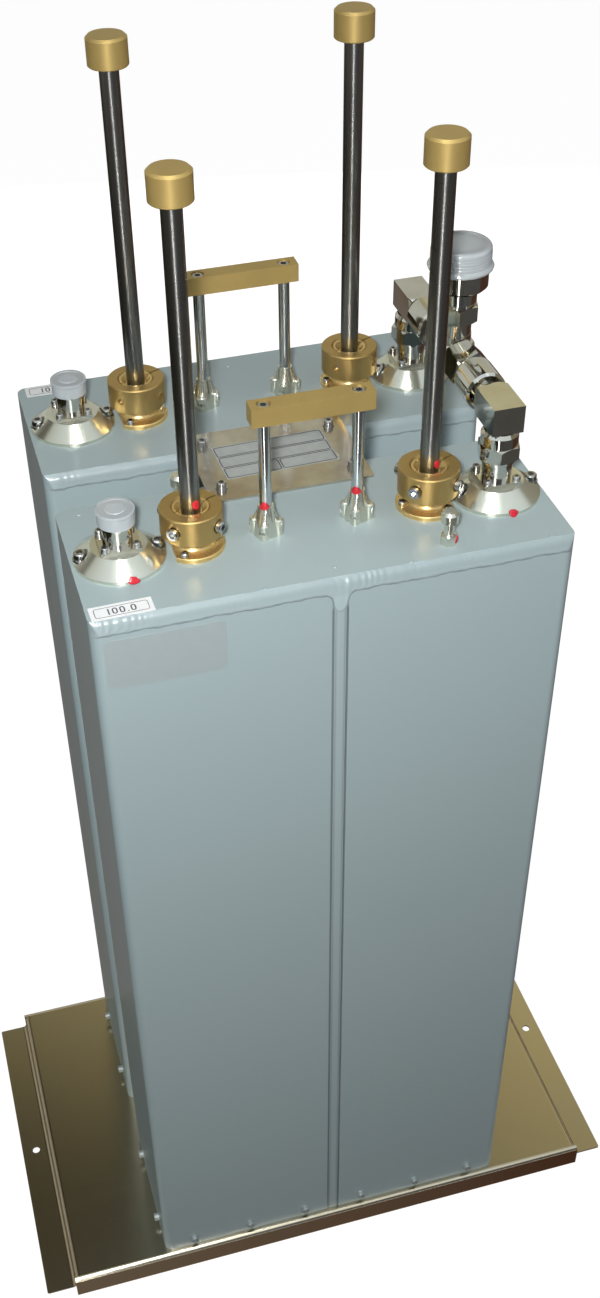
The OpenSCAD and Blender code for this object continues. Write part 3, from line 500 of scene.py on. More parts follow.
# Painted shade line: half width of the bend, width along the bead, reach under it, height over the wall and
# place of the ends
CREASE_BEND_HALF = 0.55 * MM
CREASE_W = 0.8 * MM
CREASE_TUCK = 0.3 * MM
CREASE_LIFT = 0.04 * MM
CREASE_END = 4 * MM
CREASE_COLUMNS = 300
# Corners of the paint outside the bend: distance from the middle and drop below the cabinet top, mm
FLARE_CORNERS = ((6.9, 29.0), (7.6, 29.0), (14.0, 13.2), (6.9, 13.2))
FLARE_LIFT = 0.02 * MM
# Half section of the painted seam strip: distance from the middle and height over the front wall, mm
SEAM_HALF = ((0.0, 0.33), (1.5, 0.3), (3.0, 0.2), (4.2, 0.05), (4.9, -0.2), (5.6, -0.75), (6.3, -1.1),
    (6.95, -1.0))
SEAM_SECTION = tuple((-x, rise) for x, rise in SEAM_HALF[:0:-1]) + SEAM_HALF
# Where the strip starts above the cabinet's foot, and ends below the weld
SEAM_FOOT = 0.5 * MM
SEAM_HEAD = 14.2 * MM
SEAM_ROWS = 12
FRONT_WELD_SEED, REAR_WELD_SEED = 3, 8


def weld_point(run):
    """Place and outward direction (y, z, ny, nz) on the weld's section, measured from the front top edge.

    The run starts at the lower end of the weld, follows its rounded face and goes on over the top plate.
    """
    out_y, out_z = -WELD_H / WELD_CHORD, WELD_IN / WELD_CHORD
    deep = math.sqrt(WELD_R ** 2 - WELD_CHORD ** 2 / 4)
    centre_y, centre_z = WELD_IN / 2 - out_y * deep, -WELD_H / 2 - out_z * deep
    start = math.atan2(-WELD_H - centre_z, -centre_y) % math.tau
    end = math.atan2(-centre_z, WELD_IN - centre_y) % math.tau
    if run < 0:
        return 0.0, run - WELD_H, -1.0, 0.0
    angle = start + (end - start) * min(run / WELD_ARC, 1.0)
    tip = smooth_step(WELD_ARC - TURN_BEFORE, WELD_ARC + TURN_AFTER, run) * (angle - math.pi / 2)
    past = max(run - WELD_ARC, 0.0)
    return (centre_y + WELD_R * math.cos(angle) + past, centre_z + WELD_R * math.sin(angle),
        math.cos(angle - tip), math.sin(angle - tip))


class WeldHand:
    """Unsteady hand of one weld: how its edges and ripples wander along X."""

    def __init__(self, seed):
        draw = random.Random(seed)
        self.phases = [draw.uniform(0, math.tau) for _ in range(PHASES)]

    def wave(self, x, number, per_metre):
        """One wave along X, from -1 to 1."""
        return math.sin(x * per_metre + self.phases[number])

    def waves(self, x, table):
        """Sum of the waves in a table."""
        return sum(size * self.wave(x, number, per_metre) for size, number, per_metre in table)

    def lower_edge(self, x):
        """How far the bead reaches below the foot of the weld."""
        return MM * self.waves(x, LOWER_EDGE_WAVES)

    def upper_edge(self, x):
        """Run at which the bead ends on the top plate."""
        return WELD_ARC + MM * (UPPER_EDGE_MEAN + self.waves(x, UPPER_EDGE_WAVES))

    def ripple(self, x, arch):
        """Height of the ripples and lumps at x; arch is their share across the bead."""
        swell = min(max(SWELL_MEAN + self.waves(x, SWELL_WAVES), SWELL_LEAST), 1.0)
        turn = math.tau * (x - RIPPLE_BOW * arch) / BEAD_RIPPLE + self.waves(x, DRIFT_WAVES)
        lump = self.wave(x, 5, 210) * self.wave(x, 2, 47)
        return arch * (RIPPLE_H * swell * math.cos(turn) + LUMP_H * lump)


def corner_recess(x, low, high):
    """How far the rounded cabinet corner falls back behind the front face at x."""
    inside = CORNER_R - min(x - low.x, high.x - x)
    if inside <= 0:
        return 0.0
    return CORNER_R - math.sqrt(CORNER_R ** 2 - inside ** 2)


def weld_spot(x, run, height, low, high):
    """Point at a height over the weld's section, kept out of the rounded corner."""
    y, z, out_y, out_z = weld_point(run)
    y = max(y, corner_recess(x, low, high))
    return x, low.y + y + out_y * height, high.z + z + out_z * height


def tongue_drop(x):
    """How far the bead runs down the partition edge at x."""
    side = abs(x) / MM
    for (near, deep), (far, shallow) in zip(TONGUE_EDGE, TONGUE_EDGE[1:]):
        if side <= far:
            return MM * (deep + (shallow - deep) * (side - near) / (far - near))
    return 0.0


def bead_row(x, hand, low, high):
    """Points across the bead at x."""
    first, last = -hand.lower_edge(x) - tongue_drop(x), hand.upper_edge(x)
    fade = smooth_step(0.0, BEAD_FADE, min(x - low.x, high.x - x))
    row = []
    for t in BEAD_STEPS:
        height = (BEAD_ROOT + BEAD_PROUD * fade) * hump(t, *BEAD_RISE) - BEAD_ROOT
        height += hand.ripple(x, hump(t, *RIPPLE_REACH)) * fade
        row.append(weld_spot(x, first + (last - first) * t, height, low, high))
    return row


def shade_line_along(shape, start, end, low, high, hand):
    """Adds the stretch of the painted shade line that follows the bead's lower edge."""
    rows = []
    for x in span(start, end, CREASE_COLUMNS):
        edge = -hand.lower_edge(x)
        width = CREASE_W + MM * hand.waves(x, CREASE_WAVES)
        runs = (edge - width, edge + CREASE_TUCK)
        rows.append([weld_spot(x, run, CREASE_LIFT, low, high) for run in runs])
    net(shape, rows)


def shade_line_into_seam(shape, side, low, high, hand):
    """Adds the bend that leads the painted shade line into the seam on one side of the middle."""
    rows = []
    edge = -WELD_H - hand.lower_edge(side * CREASE_BEND_X)
    path = [Vector((side * x * MM, edge - drop * MM)) for x, drop in CREASE_BEND]
    for spot, before, after in zip(path, path[:1] + path, path[1:] + path[-1:]):
        along = (after - before).normalized()
        across = Vector((-along.y, along.x)) * CREASE_BEND_HALF
        rows.append([(p.x, low.y - CREASE_LIFT, high.z + p.y) for p in (spot - across, spot + across)])
    net(shape, rows)


def under_bead_shade(name, low, high, hand):
    """Thin line of painted shade under the lower edge of a bead, bending into the seam on both sides."""
    shape = bmesh.new()
    shade_line_along(shape, low.x + CREASE_END, -CREASE_BEND_X, low, high, hand)
    shade_line_along(shape, CREASE_BEND_X, high.x - CREASE_END, low, high, hand)
    for side in (-1, 1):
        shade_line_into_seam(shape, side, low, high, hand)
    finish_piece(name, shape, painted_crease_shade)


def flare_filler(name, low, high):
    """Paint that fills the groove ends outside the bend of the weld."""
    shape = bmesh.new()
    for side in (-1, 1):
        corners = [(side * x * MM, low.y - FLARE_LIFT, high.z - drop * MM) for x, drop in FLARE_CORNERS]
        shape.faces.new([shape.verts.new(point) for point in corners])
    finish_piece(name, shape, finishes["cabinet_paint"], smooth=False)


def seam_strip(name, low, high):
    """Rounded, painted partition edge with a soft fall into the groove on each side; its paint carries
    painted shade towards the grooves.
    """
    shape = bmesh.new()
    heights = span(low.z + SEAM_FOOT, high.z - WELD_H - SEAM_HEAD, SEAM_ROWS)
    net(shape, [[(x * MM, low.y - rise * MM, z) for x, rise in SEAM_SECTION] for z in heights])
    finish_piece(name, shape, painted_seam_shade)


def weld_bead(name, low, high, seed):
    """Painted bead over the rounded front top edge of a cabinet, running down into the seam."""
    hand = WeldHand(seed)
    shape = bmesh.new()
    columns = span(low.x + BEAD_END, high.x - BEAD_END, BEAD_COLUMNS)
    net(shape, [bead_row(x, hand, low, high) for x in columns])
    finish_piece(name, shape, weld_shaded_paint)
    under_bead_shade(name + "_shade_line", low, high, hand)
    flare_filler(name + "_filler", low, high)
    seam_strip(name + "_seam", low, high)


weld_shaded_paint = weld_shaded_coat(top_z)
weld_bead("front_weld_bead", front_low, front_high, FRONT_WELD_SEED)
weld_bead("rear_weld_bead", rear_low, rear_high, REAR_WELD_SEED)


# Labels and plates

# Shares of a sheet's thickness: height at which its edge starts to slope, and how far the slope goes in
SHEET_EDGE, SHEET_SLOPE = 0.6, 0.5
PRINT_T = 0.03 * MM
LEAST_CORNER_R = 0.1 * MM
LABEL_W, LABEL_H, LABEL_R, LABEL_T = 50 * MM, 18 * MM, 0.6 * MM, 0.12 * MM
BORDER_W, BORDER_H, BORDER_R, BORDER_LINE = 43 * MM, 12 * MM, 2.2 * MM, 0.5 * MM
FIGURE_W, FIGURE_H, FIGURE_LINE = 4.2 * MM, 7.6 * MM, 1.1 * MM
FIGURE_R = FIGURE_W / 2 - 0.01 * MM
FIGURE_PITCH = {"1": 4.2 * MM, "0": 5.8 * MM, ".": 3.0 * MM}
STICKER_W, STICKER_H, STICKER_R, STICKER_T = 97 * MM, 48 * MM, 4 * MM, 0.15 * MM
STICKER_X, STICKER_DROP = -142 * MM, 42.5 * MM
PLATE_W, PLATE_H, PLATE_R, PLATE_T = 101 * MM, 53 * MM, 1 * MM, 0.06 * MM
PLATE_X, PLATE_Y, PLATE_TURN_DEG = -0.5 * MM, 3.3 * MM, 1.6
BOX_ROWS = 3
BOX_GAP, BOX_LINE, BOX_R = 1.2 * MM, 0.9 * MM, 2.4 * MM


def rounded_outline(width, height, radius, steps=6):
    """Corner points of a rounded rectangle round the origin, anticlockwise."""
    points = []
    for cx, cy, turn in ((1, 1, 0), (-1, 1, 90), (-1, -1, 180), (1, -1, 270)):
        for i in range(steps + 1):
            a = math.radians(turn + 90 * i / steps)
            points.append((cx * (width / 2 - radius) + radius * math.cos(a),
                cy * (height / 2 - radius) + radius * math.sin(a)))
    return points


def flat_sheet(name, width, height, radius, thickness, place_matrix, material):
    """Thin plate with rounded corners lying on a surface."""
    shape = bmesh.new()
    outline = rounded_outline(width, height, radius)
    inset = thickness * SHEET_SLOPE
    scale_x, scale_y = 1 - 2 * inset / width, 1 - 2 * inset / height
    lower = [shape.verts.new((x, y, 0.0)) for x, y in outline]
    upper = [shape.verts.new((x, y, thickness * SHEET_EDGE)) for x, y in outline]
    crown = [shape.verts.new((x * scale_x, y * scale_y, thickness)) for x, y in outline]
    band(shape, lower, upper)
    band(shape, upper, crown)
    shape.faces.new(crown)
    shape.faces.new(lower[::-1])
    bmesh.ops.transform(shape, matrix=place_matrix, verts=shape.verts)
    finish_piece(name, shape, material, smooth=False)


def line_frame(shape, width, height, radius, line, centre, level):
    """Adds a thin raised outline of a rounded box to a shape."""
    outer = rounded_outline(width, height, radius)
    inner = rounded_outline(width - 2 * line, height - 2 * line, max(radius - line, LEAST_CORNER_R))
    rings = []
    for z in (level, level + PRINT_T):
        rings.append([[shape.verts.new((centre[0] + x, centre[1] + y, z)) for x, y in ring]
            for ring in (outer, inner)])
    (low_out, low_in), (high_out, high_in) = rings
    band(shape, high_out, high_in)
    band(shape, low_out, high_out)
    band(shape, high_in, low_in)


def flat_bar(shape, width, height, centre, level):
    """Adds a thin raised bar to a shape."""
    corners = [(centre[0] + sx * width / 2, centre[1] + sy * height / 2)
        for sx, sy in ((-1, -1), (1, -1), (1, 1), (-1, 1))]
    low_ring, high_ring = [[shape.verts.new((x, y, z)) for x, y in corners]
        for z in (level, level + PRINT_T)]
    shape.faces.new(high_ring)
    band(shape, low_ring, high_ring)


def lying(x, y, z, turn_deg=0.0):
    """Frame of a sheet that lies face up."""
    return Matrix.Translation((x, y, z)) @ Matrix.Rotation(math.radians(turn_deg), 4, "Z")


def upright_front(x, y, z):
    """Frame of a sheet on a wall that faces -Y."""
    return Matrix.Translation((x, y, z)) @ Matrix.Rotation(math.radians(90), 4, "X")


def plain_number(shape, number, level):
    """Raised strokes of a plain number made of ones, noughts and a point, centred on the label."""
    x = -sum(FIGURE_PITCH[sign] for sign in number) / 2
    for sign in number:
        middle_x = x + FIGURE_PITCH[sign] / 2
        if sign == "0":
            line_frame(shape, FIGURE_W, FIGURE_H, FIGURE_R, FIGURE_LINE, (middle_x, 0), level)
        else:
            height = FIGURE_H if sign == "1" else FIGURE_LINE
            flat_bar(shape, FIGURE_LINE, height, (middle_x, (height - FIGURE_H) / 2), level)
        x += FIGURE_PITCH[sign]


def channel_label(name, x, y, turn_deg, number):
    """White label with a thin rounded border and a plain number."""
    spot = lying(x, y, top_z, turn_deg)
    flat_sheet(name, LABEL_W, LABEL_H, LABEL_R, LABEL_T, spot, label_stock)
    shape = bmesh.new()
    line_frame(shape, BORDER_W, BORDER_H, BORDER_R, BORDER_LINE, (0, 0), LABEL_T)
    plain_number(shape, number, LABEL_T)
    bmesh.ops.transform(shape, matrix=spot, verts=shape.verts)
    finish_piece(name + "_border", shape, label_ink, smooth=False)


def rating_boxes(spot):
    """Print of the bridge plate, left blank: bordered boxes in rows, the last row halved."""
    flat_sheet("rating_print", PLATE_W, PLATE_H, PLATE_R, PLATE_T, spot, plate_print)
    row_h = (PLATE_H - (BOX_ROWS + 1) * BOX_GAP) / BOX_ROWS
    full_w = PLATE_W - 2 * BOX_GAP
    half_w = (full_w - BOX_GAP) / 2
    boxes = [(row, full_w, 0.0) for row in range(BOX_ROWS - 1)]
    boxes += [(BOX_ROWS - 1, half_w, side * (half_w + BOX_GAP) / 2) for side in (-1, 1)]
    shape = bmesh.new()
    for row, width, x in boxes:
        y = PLATE_H / 2 - BOX_GAP - row_h / 2 - row * (row_h + BOX_GAP)
        line_frame(shape, width, row_h, BOX_R, BOX_LINE, (x, y), PLATE_T)
    bmesh.ops.transform(shape, matrix=spot, verts=shape.verts)
    finish_piece("rating_boxes", shape, label_ink, smooth=False)


channel_label("front_channel_label", x=-172.0 * MM, y=-173.5 * MM, turn_deg=1.5, number="100.0")
channel_label("rear_channel_label", x=-167.5 * MM, y=177.0 * MM, turn_deg=-0.5, number="101.0")
flat_sheet("front_sticker", STICKER_W, STICKER_H, STICKER_R, STICKER_T,
    upright_front(STICKER_X, front_low.y, top_z - STICKER_DROP), sticker_film)
rating_boxes(lying(PLATE_X, PLATE_Y, bridge_high.z, PLATE_TURN_DEG))


# Thread lines that show through the output dust cap

CAP_RIBS = 4
CAP_RIB_FIRST, CAP_RIB_PITCH = 7.0 * MM, 2.4 * MM
CAP_RIB_R, CAP_RIB_T = 25.15 * MM, 0.5 * MM
CAP_RIB_SPOKES, CAP_RIB_STEPS = 64, 8


def cap_rib(name, axis, z):
    """Thin rounded ring round the output cap."""
    shape = bmesh.new()
    rings = []
    for turn in full_turn(CAP_RIB_SPOKES):
        ring = []
        for tilt in full_turn(CAP_RIB_STEPS):
            reach = CAP_RIB_R + CAP_RIB_T * math.cos(tilt)
            ring.append(shape.verts.new((axis[0] + reach * math.cos(turn), axis[1] + reach * math.sin(turn),
                z + CAP_RIB_T * math.sin(tilt))))
        rings.append(ring)
    for here, there in zip(rings, rings[1:] + rings[:1]):
        band(shape, there, here)
    finish_piece(name, shape, finishes["dust_cap"])


cap_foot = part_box("output_cap")[0].z
for number in range(CAP_RIBS):
    cap_rib(f"output_cap_rib_{number}", top_axis("output_cap"),
        cap_foot + CAP_RIB_FIRST + number * CAP_RIB_PITCH)


# Red seal paint dabs

DAB_RINGS, DAB_SPOKES = 7, 26
DAB_PROUD = 0.8 * MM
DAB_ROUND = 0.6
# Lobes round a dab's edge, and the least and most that each moves it
DAB_LOBES = (2, 3, 5)
DAB_WOBBLE = (0.04, 0.12)
# Surface under each kind of dab: its radius, and how far it leans outwards on the way down
HUB_SEAT = {"radius": 37.9 * MM, "lean": 0.55}
TUNER_SEAT = {"radius": 8.25 * MM, "lean": 0.10}
COUPLING_SEAT = {"radius": 5.7 * MM, "lean": 0.12}
PROBE_SEAT = {"radius": 6.6 * MM, "lean": 0.0}
COUPLING_ROD_R = 5 * MM
PROBE_X, PROBE_IN = 97 * MM, 22 * MM


def paint_dab(name, axis, radius, lean, rise, bearing_deg, width, height, seed, proud=DAB_PROUD):
    """Domed dab of paint on a round surface, at a rise over the cabinet top."""
    draw = random.Random(seed)
    waves = [(k, draw.uniform(*DAB_WOBBLE), draw.uniform(0, math.tau)) for k in DAB_LOBES]

    def spot(share, turn):
        """Point at a share of the way from the dab's middle to its edge."""
        reach = share * (1 + sum(size * math.sin(k * turn + phase) for k, size, phase in waves))
        across, up = reach * width / 2 * math.cos(turn), reach * height / 2 * math.sin(turn)
        out = radius + proud * (1 - share ** 2) ** DAB_ROUND - lean * up
        around = math.radians(bearing_deg) + across / radius
        return axis[0] + out * math.cos(around), axis[1] + out * math.sin(around), top_z + rise + up

    shape = bmesh.new()
    shares = span(0.0, 1.0, DAB_RINGS)[1:]
    rings = [[spot(share, turn) for turn in full_turn(DAB_SPOKES)] for share in shares]
    dome(shape, spot(0.0, 0.0), rings)
    finish_piece(name, shape, seal_paint)


gland_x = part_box("front_coupling_loop")[1].x - COUPLING_ROD_R
gland_y = middle("front_glands").y
paint_dab("seal_front_input_hub", top_axis("front_input_hub"), **HUB_SEAT, rise=3.0 * MM, bearing_deg=-84,
    width=9.5 * MM, height=5.6 * MM, seed=11)
paint_dab("seal_front_output_hub", top_axis("front_output_hub"), **HUB_SEAT, rise=3.0 * MM, bearing_deg=-88,
    width=8.5 * MM, height=5.6 * MM, seed=12)
paint_dab("seal_front_left_tuner", top_axis("front_left_rod"), **TUNER_SEAT, rise=42.5 * MM,
    bearing_deg=-68, width=7.5 * MM, height=8.5 * MM, seed=13)
paint_dab("seal_front_right_tuner", top_axis("front_right_rod"), **TUNER_SEAT, rise=42.0 * MM,
    bearing_deg=-60, width=7.0 * MM, height=7.5 * MM, seed=14)
for side, name in ((-1, "left"), (1, "right")):
    paint_dab(f"seal_front_coupling_{name}", (side * gland_x, gland_y), **COUPLING_SEAT, rise=27.0 * MM,
        bearing_deg=-118, width=10.5 * MM, height=8.5 * MM, seed=20 + side)
paint_dab("seal_front_probe", (PROBE_X, front_low.y + PROBE_IN), **PROBE_SEAT, rise=5.0 * MM,
    bearing_deg=-38, width=6.0 * MM, height=8.0 * MM, seed=31, proud=0.9 * MM)


# Shoulders that join each gland's lobes to its cone

LOBE_TURNS_DEG = (-25, 65, 155, 245)
# Distance from the gland's axis and height over the cabinet top, at the lobe and at the cone
SHOULDER_OUT, SHOULDER_IN = (13.4 * MM, 12.2 * MM), (6.9 * MM, 23.0 * MM)
# How hollow its ridge is, its half width at the lobe and how much of that it loses, and its side skirts
SHOULDER_CURVE = 1.5
SHOULDER_HALF, SHOULDER_TAPER = 3.7 * MM, 1.4 * MM
SHOULDER_SKIRT = 4 * MM
SHOULDER_ROWS, SHOULDER_COLUMNS = 12, 10


def gland_shoulder(shape, axis, turn_deg):
    """Adds one rounded shoulder that falls from a gland's cone to a lobe."""
    turn = math.radians(turn_deg)
    outward = Vector((math.cos(turn), math.sin(turn), 0))
    sideways = Vector((-math.sin(turn), math.cos(turn), 0))
    rows = []
    for s in span(0.0, 1.0, SHOULDER_ROWS):
        reach = SHOULDER_OUT[0] + (SHOULDER_IN[0] - SHOULDER_OUT[0]) * s
        ridge = SHOULDER_OUT[1] + (SHOULDER_IN[1] - SHOULDER_OUT[1]) * s ** SHOULDER_CURVE
        half = SHOULDER_HALF - SHOULDER_TAPER * s
        row = []
        for c in span(-1.0, 1.0, SHOULDER_COLUMNS):
            fall = half * (1 - math.sqrt(max(1 - c * c, 0.0))) + (SHOULDER_SKIRT if abs(c) == 1 else 0.0)
            crest = Vector((*axis, top_z + ridge - fall))
            row.append(crest + outward * reach + sideways * half * c)
        rows.append(row)
    net(shape, rows)


def gland_shoulders(name, gland_node):
    """The shoulders of the two glands of a cabinet, as one piece."""
    shape = bmesh.new()
    for side in (-1, 1):
        for turn_deg in LOBE_TURNS_DEG:
            gland_shoulder(shape, (side * gland_x, middle(gland_node).y), turn_deg)
    finish_piece(name, shape, finishes["silver_plate"])


gland_shoulders("front_gland_shoulders", "front_glands")
gland_shoulders("rear_gland_shoulders", "rear_glands")


# Paint pips on the cabinet tops

PIP_R, PIP_H = 1.9 * MM, 1.0 * MM
PIP_RINGS, PIP_SPOKES = 4, 14
PIP_SPOTS_MM = ((-180.5, -37.5), (0.0, -169.5), (0.0, 169.5), (-60.0, -180.0), (60.0, -180.0),
    (180.0, -179.5))


def paint_pip(name, x, y):
    """Small dome of paint over a filled spot."""
    rings = []
    for tilt in span(0.0, math.pi / 2, PIP_RINGS)[1:]:
        reach, z = PIP_R * math.sin(tilt), top_z + PIP_H * math.cos(tilt)
        rings.append([(x + reach * math.cos(turn), y + reach * math.sin(turn), z)
            for turn in full_turn(PIP_SPOKES)])
    shape = bmesh.new()
    dome(shape, (x, y, top_z + PIP_H), rings)
    finish_piece(name, shape, finishes["cabinet_paint"])


for number, (x, y) in enumerate(PIP_SPOTS_MM):
    paint_pip(f"paint_pip_{number}", x * MM, y * MM)


# Stage, light and camera

FLOOR_R = 14.0
FLOOR_SHADE = (0.13, 0.13, 0.13)
FLOOR_SHOWN = (0.80, 0.80, 0.80)
FLOOR_GLOW, FLOOR_GLOW_SHARE = 1.1, 0.88
WHITE = (1.0, 1.0, 1.0)
WORLD_LIGHT, WORLD_SHOWN = 0.10, 1.0

# Room of cards that only polished metal shows, metres
ROOM_X, ROOM_FRONT, ROOM_BACK, ROOM_TOP = 3.0, -3.0, 3.2, 3.0
ROOM_FOOT = 0.3
CEILING_SPLIT = 1.0
GROUND_REACH, GROUND_LEFT, GROUND_FRONT = 6.0, -0.6, -0.8
GROUND_Z = 0.5 * MM
STRIP_LEFT, STRIP_RIGHT = (-0.47, -1.45), (-0.38, -1.48)
STRIP_FOOT, STRIP_TOP = 0.02, 1.35
OVERHEAD_X = {"left": -0.24, "right": -0.04}
OVERHEAD_HALF, OVERHEAD_FRONT, OVERHEAD_BACK, OVERHEAD_Z = 0.07, -0.95, -0.2, 2.6

# Glow of the cards, linear
CEILING_DARK = (0.030, 0.022, 0.008)
CEILING_WARM = (0.60, 0.56, 0.36)
CEILING_FRONT_DULL = (0.46, 0.48, 0.44)
CEILING_FRONT_SKY = (0.80, 0.88, 0.97)
FRONT_WALL = (0.09, 0.10, 0.13)
BACK_WALL_LEFT = (0.56, 0.58, 0.53)
BACK_WALL_RIGHT = (0.52, 0.52, 0.46)
LEFT_WALL = (0.34, 0.33, 0.29)
RIGHT_WALL = (0.24, 0.22, 0.17)
GROUND_BROWN = (0.18, 0.145, 0.12)
GROUND_BROWN_DARK = (0.075, 0.038, 0.027)
GROUND_LEFT_DARK = (0.016, 0.015, 0.007)
GROUND_LEFT_DULL = (0.030, 0.028, 0.020)
GROUND_FRONT_DULL = (0.070, 0.068, 0.064)
GROUND_FRONT_GREY = (0.085, 0.084, 0.083)
STRIP_GLOW = (12.0, 12.0, 11.9)
OVERHEAD_GLOW = (11.0, 11.0, 10.8)


def shown_white(tree):
    """1 for rays that look at the background itself, directly or in metal or plastic."""
    rays = place(tree, "ShaderNodeLightPath")
    first = place(tree, "ShaderNodeMath", {0: rays.outputs["Is Camera Ray"],
        1: rays.outputs["Is Glossy Ray"]}, operation="MAXIMUM")
    return place(tree, "ShaderNodeMath", {0: first.outputs[0], 1: rays.outputs["Is Transmission Ray"]},
        operation="MAXIMUM").outputs[0]


def pale_floor():
    """White where it is looked at, grey where it lights the part, with the part's shadow."""
    material = bpy.data.materials.new("pale_floor")
    material.use_nodes = True
    tree = material.node_tree
    tree.nodes.remove(tree.nodes["Principled BSDF"])
    shown = shown_white(tree)
    matt = place(tree, "ShaderNodeBsdfDiffuse", {"Color": blend(tree, shown, FLOOR_SHADE, FLOOR_SHOWN)})
    glow = place(tree, "ShaderNodeEmission", {"Color": WHITE, "Strength": FLOOR_GLOW})
    share = place(tree, "ShaderNodeMath", {0: shown, 1: FLOOR_GLOW_SHARE}, operation="MULTIPLY")
    mixed = place(tree, "ShaderNodeMixShader", {0: share.outputs[0], 1: matt.outputs[0],
        2: glow.outputs[0]})
    tree.links.new(mixed.outputs[0], tree.nodes["Material Output"].inputs["Surface"])
    return material


def build_floor():
    """Round floor under the part."""
    shape = bmesh.new()
    bmesh.ops.create_circle(shape, cap_ends=True, segments=96, radius=FLOOR_R)
    mesh = bpy.data.meshes.new("floor")
    shape.to_mesh(mesh)
    shape.free()
    floor = bpy.data.objects.new("floor", mesh)
    bpy.context.scene.collection.objects.link(floor)
    mesh.materials.append(pale_floor())


def build_world():
    """White where it is looked at, dim where it lights the part."""
    world = bpy.data.worlds.new("studio")
    bpy.context.scene.world = world
    world.use_nodes = True
    tree = world.node_tree
    background = tree.nodes["Background"]
    feed(tree, WHITE, background.inputs["Color"])
    strength = place(tree, "ShaderNodeMapRange", {"Value": shown_white(tree), "To Min": WORLD_LIGHT,
        "To Max": WORLD_SHOWN})
    tree.links.new(strength.outputs["Result"], background.inputs["Strength"])


def gradient_glow(name, low_color, high_color, axis, low, high):
    """Even glow that drifts from one colour to another along an axis."""
    material, tree, shader = new_finish(name)
    shader.inputs["Base Color"].default_value = (0.0, 0.0, 0.0, 1.0)
    shader.inputs["Specular IOR Level"].default_value = 0.0
    shader.inputs["Emission Strength"].default_value = 1.0
    along = place(tree, "ShaderNodeVectorMath", {0: own_place(tree), 1: axis}, operation="DOT_PRODUCT")
    share = place(tree, "ShaderNodeMapRange", {"Value": along.outputs["Value"], "From Min": low,
        "From Max": high})
    tone = blend(tree, share.outputs["Result"], low_color, high_color)
    tree.links.new(tone, shader.inputs["Emission Color"])
    return material


def room_card(name, corners, low_color, high_color=None, axis=(1.0, 0.0, 0.0), low=-2.0, high=2.0):
    """Card beside the set that only shows in polished metal, of one colour or drifting along an axis."""
    mesh = bpy.data.meshes.new(name)
    mesh.from_pydata(corners, [], [tuple(range(len(corners)))])
    mesh.materials.append(gradient_glow(name, low_color, high_color or low_color, axis, low, high))
    card = bpy.data.objects.new(name, mesh)
    bpy.context.scene.collection.objects.link(card)
    card.visible_camera = False
    card.visible_diffuse = False
    card.visible_transmission = False
    card.visible_shadow = False


def level_corners(left, right, front, back, z):
    """Corners of a level card."""
    return [(left, front, z), (right, front, z), (right, back, z), (left, back, z)]


def upright_corners(start, end, foot=ROOM_FOOT, top=ROOM_TOP):
    """Corners of an upright card between two places, given as x and y."""
    return [(*start, foot), (*end, foot), (*end, top), (*start, top)]


def build_room():
    """Ceiling and walls of cards."""
    front_left, front_right = (-ROOM_X, ROOM_FRONT), (ROOM_X, ROOM_FRONT)
    back_left, back_right = (-ROOM_X, ROOM_BACK), (ROOM_X, ROOM_BACK)
    room_card("card_above", level_corners(-ROOM_X, ROOM_X, CEILING_SPLIT, ROOM_BACK, ROOM_TOP),
        CEILING_DARK, CEILING_WARM, axis=(1.0, 1.1, 0.0), low=1.75, high=3.9)
    room_card("card_above_front", level_corners(-ROOM_X, ROOM_X, ROOM_FRONT, CEILING_SPLIT, ROOM_TOP),
        CEILING_FRONT_DULL, CEILING_FRONT_SKY, axis=(0.0, -1.0, 0.0), low=-1.0, high=1.2)
    room_card("card_front", upright_corners(front_left, front_right), FRONT_WALL)
    room_card("card_behind", upright_corners(back_left, back_right), BACK_WALL_LEFT, BACK_WALL_RIGHT)
    room_card("card_left", upright_corners(front_left, back_left), LEFT_WALL)
    room_card("card_right", upright_corners(front_right, back_right), RIGHT_WALL)


def build_ground():
    """Dark ground for the polished metal to show: behind and beside the part, left of it and before it."""
    room_card("card_ground_near", level_corners(GROUND_LEFT, GROUND_REACH, GROUND_FRONT, GROUND_REACH,
        GROUND_Z), GROUND_BROWN, GROUND_BROWN_DARK, low=-0.3, high=0.3)
    room_card("card_ground_left", level_corners(-GROUND_REACH, GROUND_LEFT, -GROUND_REACH, GROUND_REACH,
        GROUND_Z), GROUND_LEFT_DARK, GROUND_LEFT_DULL, low=-2.0, high=-0.6)
    room_card("card_ground_far", level_corners(GROUND_LEFT, GROUND_REACH, -GROUND_REACH, GROUND_FRONT,
        GROUND_Z), GROUND_FRONT_DULL, GROUND_FRONT_GREY, low=-0.6, high=0.8)


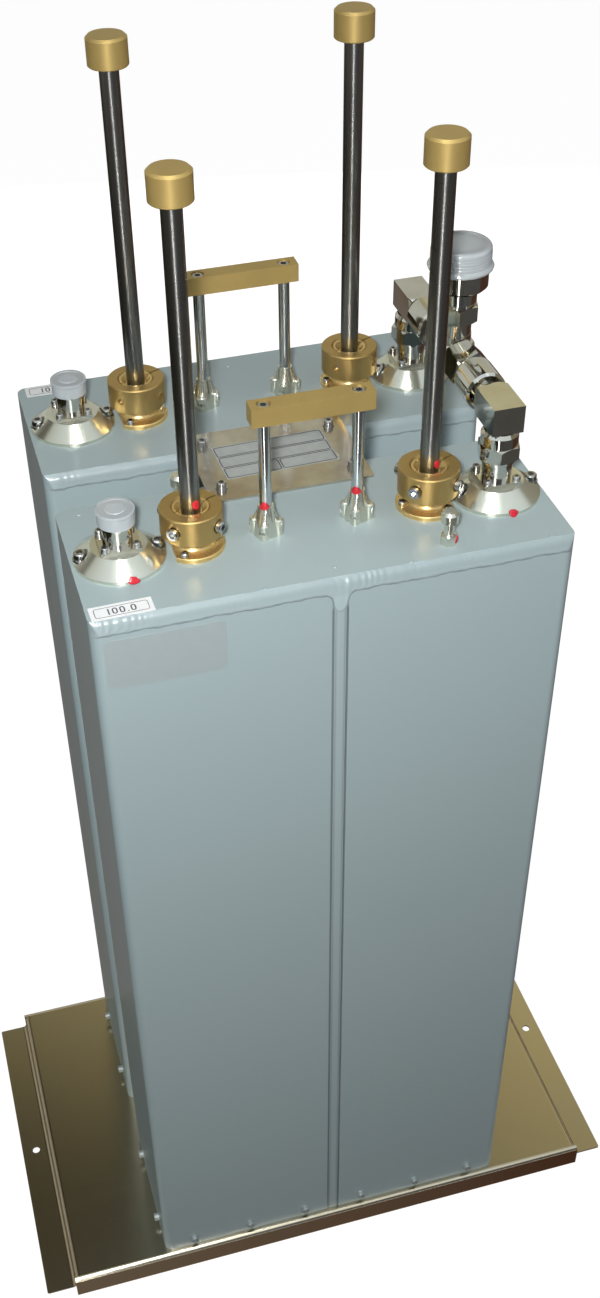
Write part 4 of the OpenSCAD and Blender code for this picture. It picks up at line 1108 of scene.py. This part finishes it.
def build_strips():
    """A tall strip of light in front of the part and two level ones over it."""
    room_card("light_strip", upright_corners(STRIP_LEFT, STRIP_RIGHT, STRIP_FOOT, STRIP_TOP), STRIP_GLOW)
    for side, x in OVERHEAD_X.items():
        room_card(f"strip_over_{side}", level_corners(x - OVERHEAD_HALF, x + OVERHEAD_HALF, OVERHEAD_FRONT,
            OVERHEAD_BACK, OVERHEAD_Z), OVERHEAD_GLOW)


def area_light(name, spot, target, size, watts, color=WHITE, in_metal=True):
    """Round lamp aimed at a target; in_metal says whether polished metal shows it."""
    data = bpy.data.lights.new(name, "AREA")
    data.shape = "DISK"
    data.size = size
    data.energy = watts
    data.color = color
    lamp = bpy.data.objects.new(name, data)
    bpy.context.scene.collection.objects.link(lamp)
    lamp.visible_glossy = in_metal
    lamp.location = spot
    lamp.rotation_euler = (Vector(target) - Vector(spot)).to_track_quat("-Z", "Y").to_euler()


def build_lights():
    """A small key light just left of the lens, and soft fills from both sides, behind and above."""
    area_light("key_light", spot=(-0.355, -1.085, 1.70), target=(0.0, -0.1, 0.6), size=0.10, watts=20.6,
        color=(1.0, 0.99, 0.98))
    area_light("left_fill", spot=(-2.4, 0.1, 1.1), target=(-0.2, 0.0, 0.6), size=0.9, watts=8.6,
        color=(0.84, 1.0, 1.04), in_metal=False)
    area_light("right_fill", spot=(2.3, -1.2, 2.3), target=(0.1, 0.0, 0.8), size=1.4, watts=15.0,
        color=(0.97, 1.0, 1.03), in_metal=False)
    area_light("rear_fill", spot=(0.7, 2.8, 0.75), target=(0.1, 0.1, 0.5), size=1.6, watts=42.0,
        in_metal=False)
    area_light("top_fill", spot=(0.3, -0.6, 3.2), target=(0.0, 0.0, 0.5), size=2.2, watts=4.5)


def place_camera():
    """Camera at the place that the photo was taken from."""
    data = bpy.data.cameras.new("camera")
    data.lens = CAMERA_LENS_MM
    data.sensor_width = CAMERA_SENSOR_MM
    data.shift_x, data.shift_y = CAMERA_SHIFT
    camera = bpy.data.objects.new("camera", data)
    bpy.context.scene.collection.objects.link(camera)
    camera.location = CAMERA_PLACE
    camera.rotation_euler = Euler([math.radians(a) for a in CAMERA_TURN_DEG], "XYZ")
    bpy.context.scene.camera = camera


build_floor()
build_world()
build_room()
build_ground()
build_strips()
build_lights()
place_camera()
bpy.context.scene.view_settings.view_transform = "Standard"
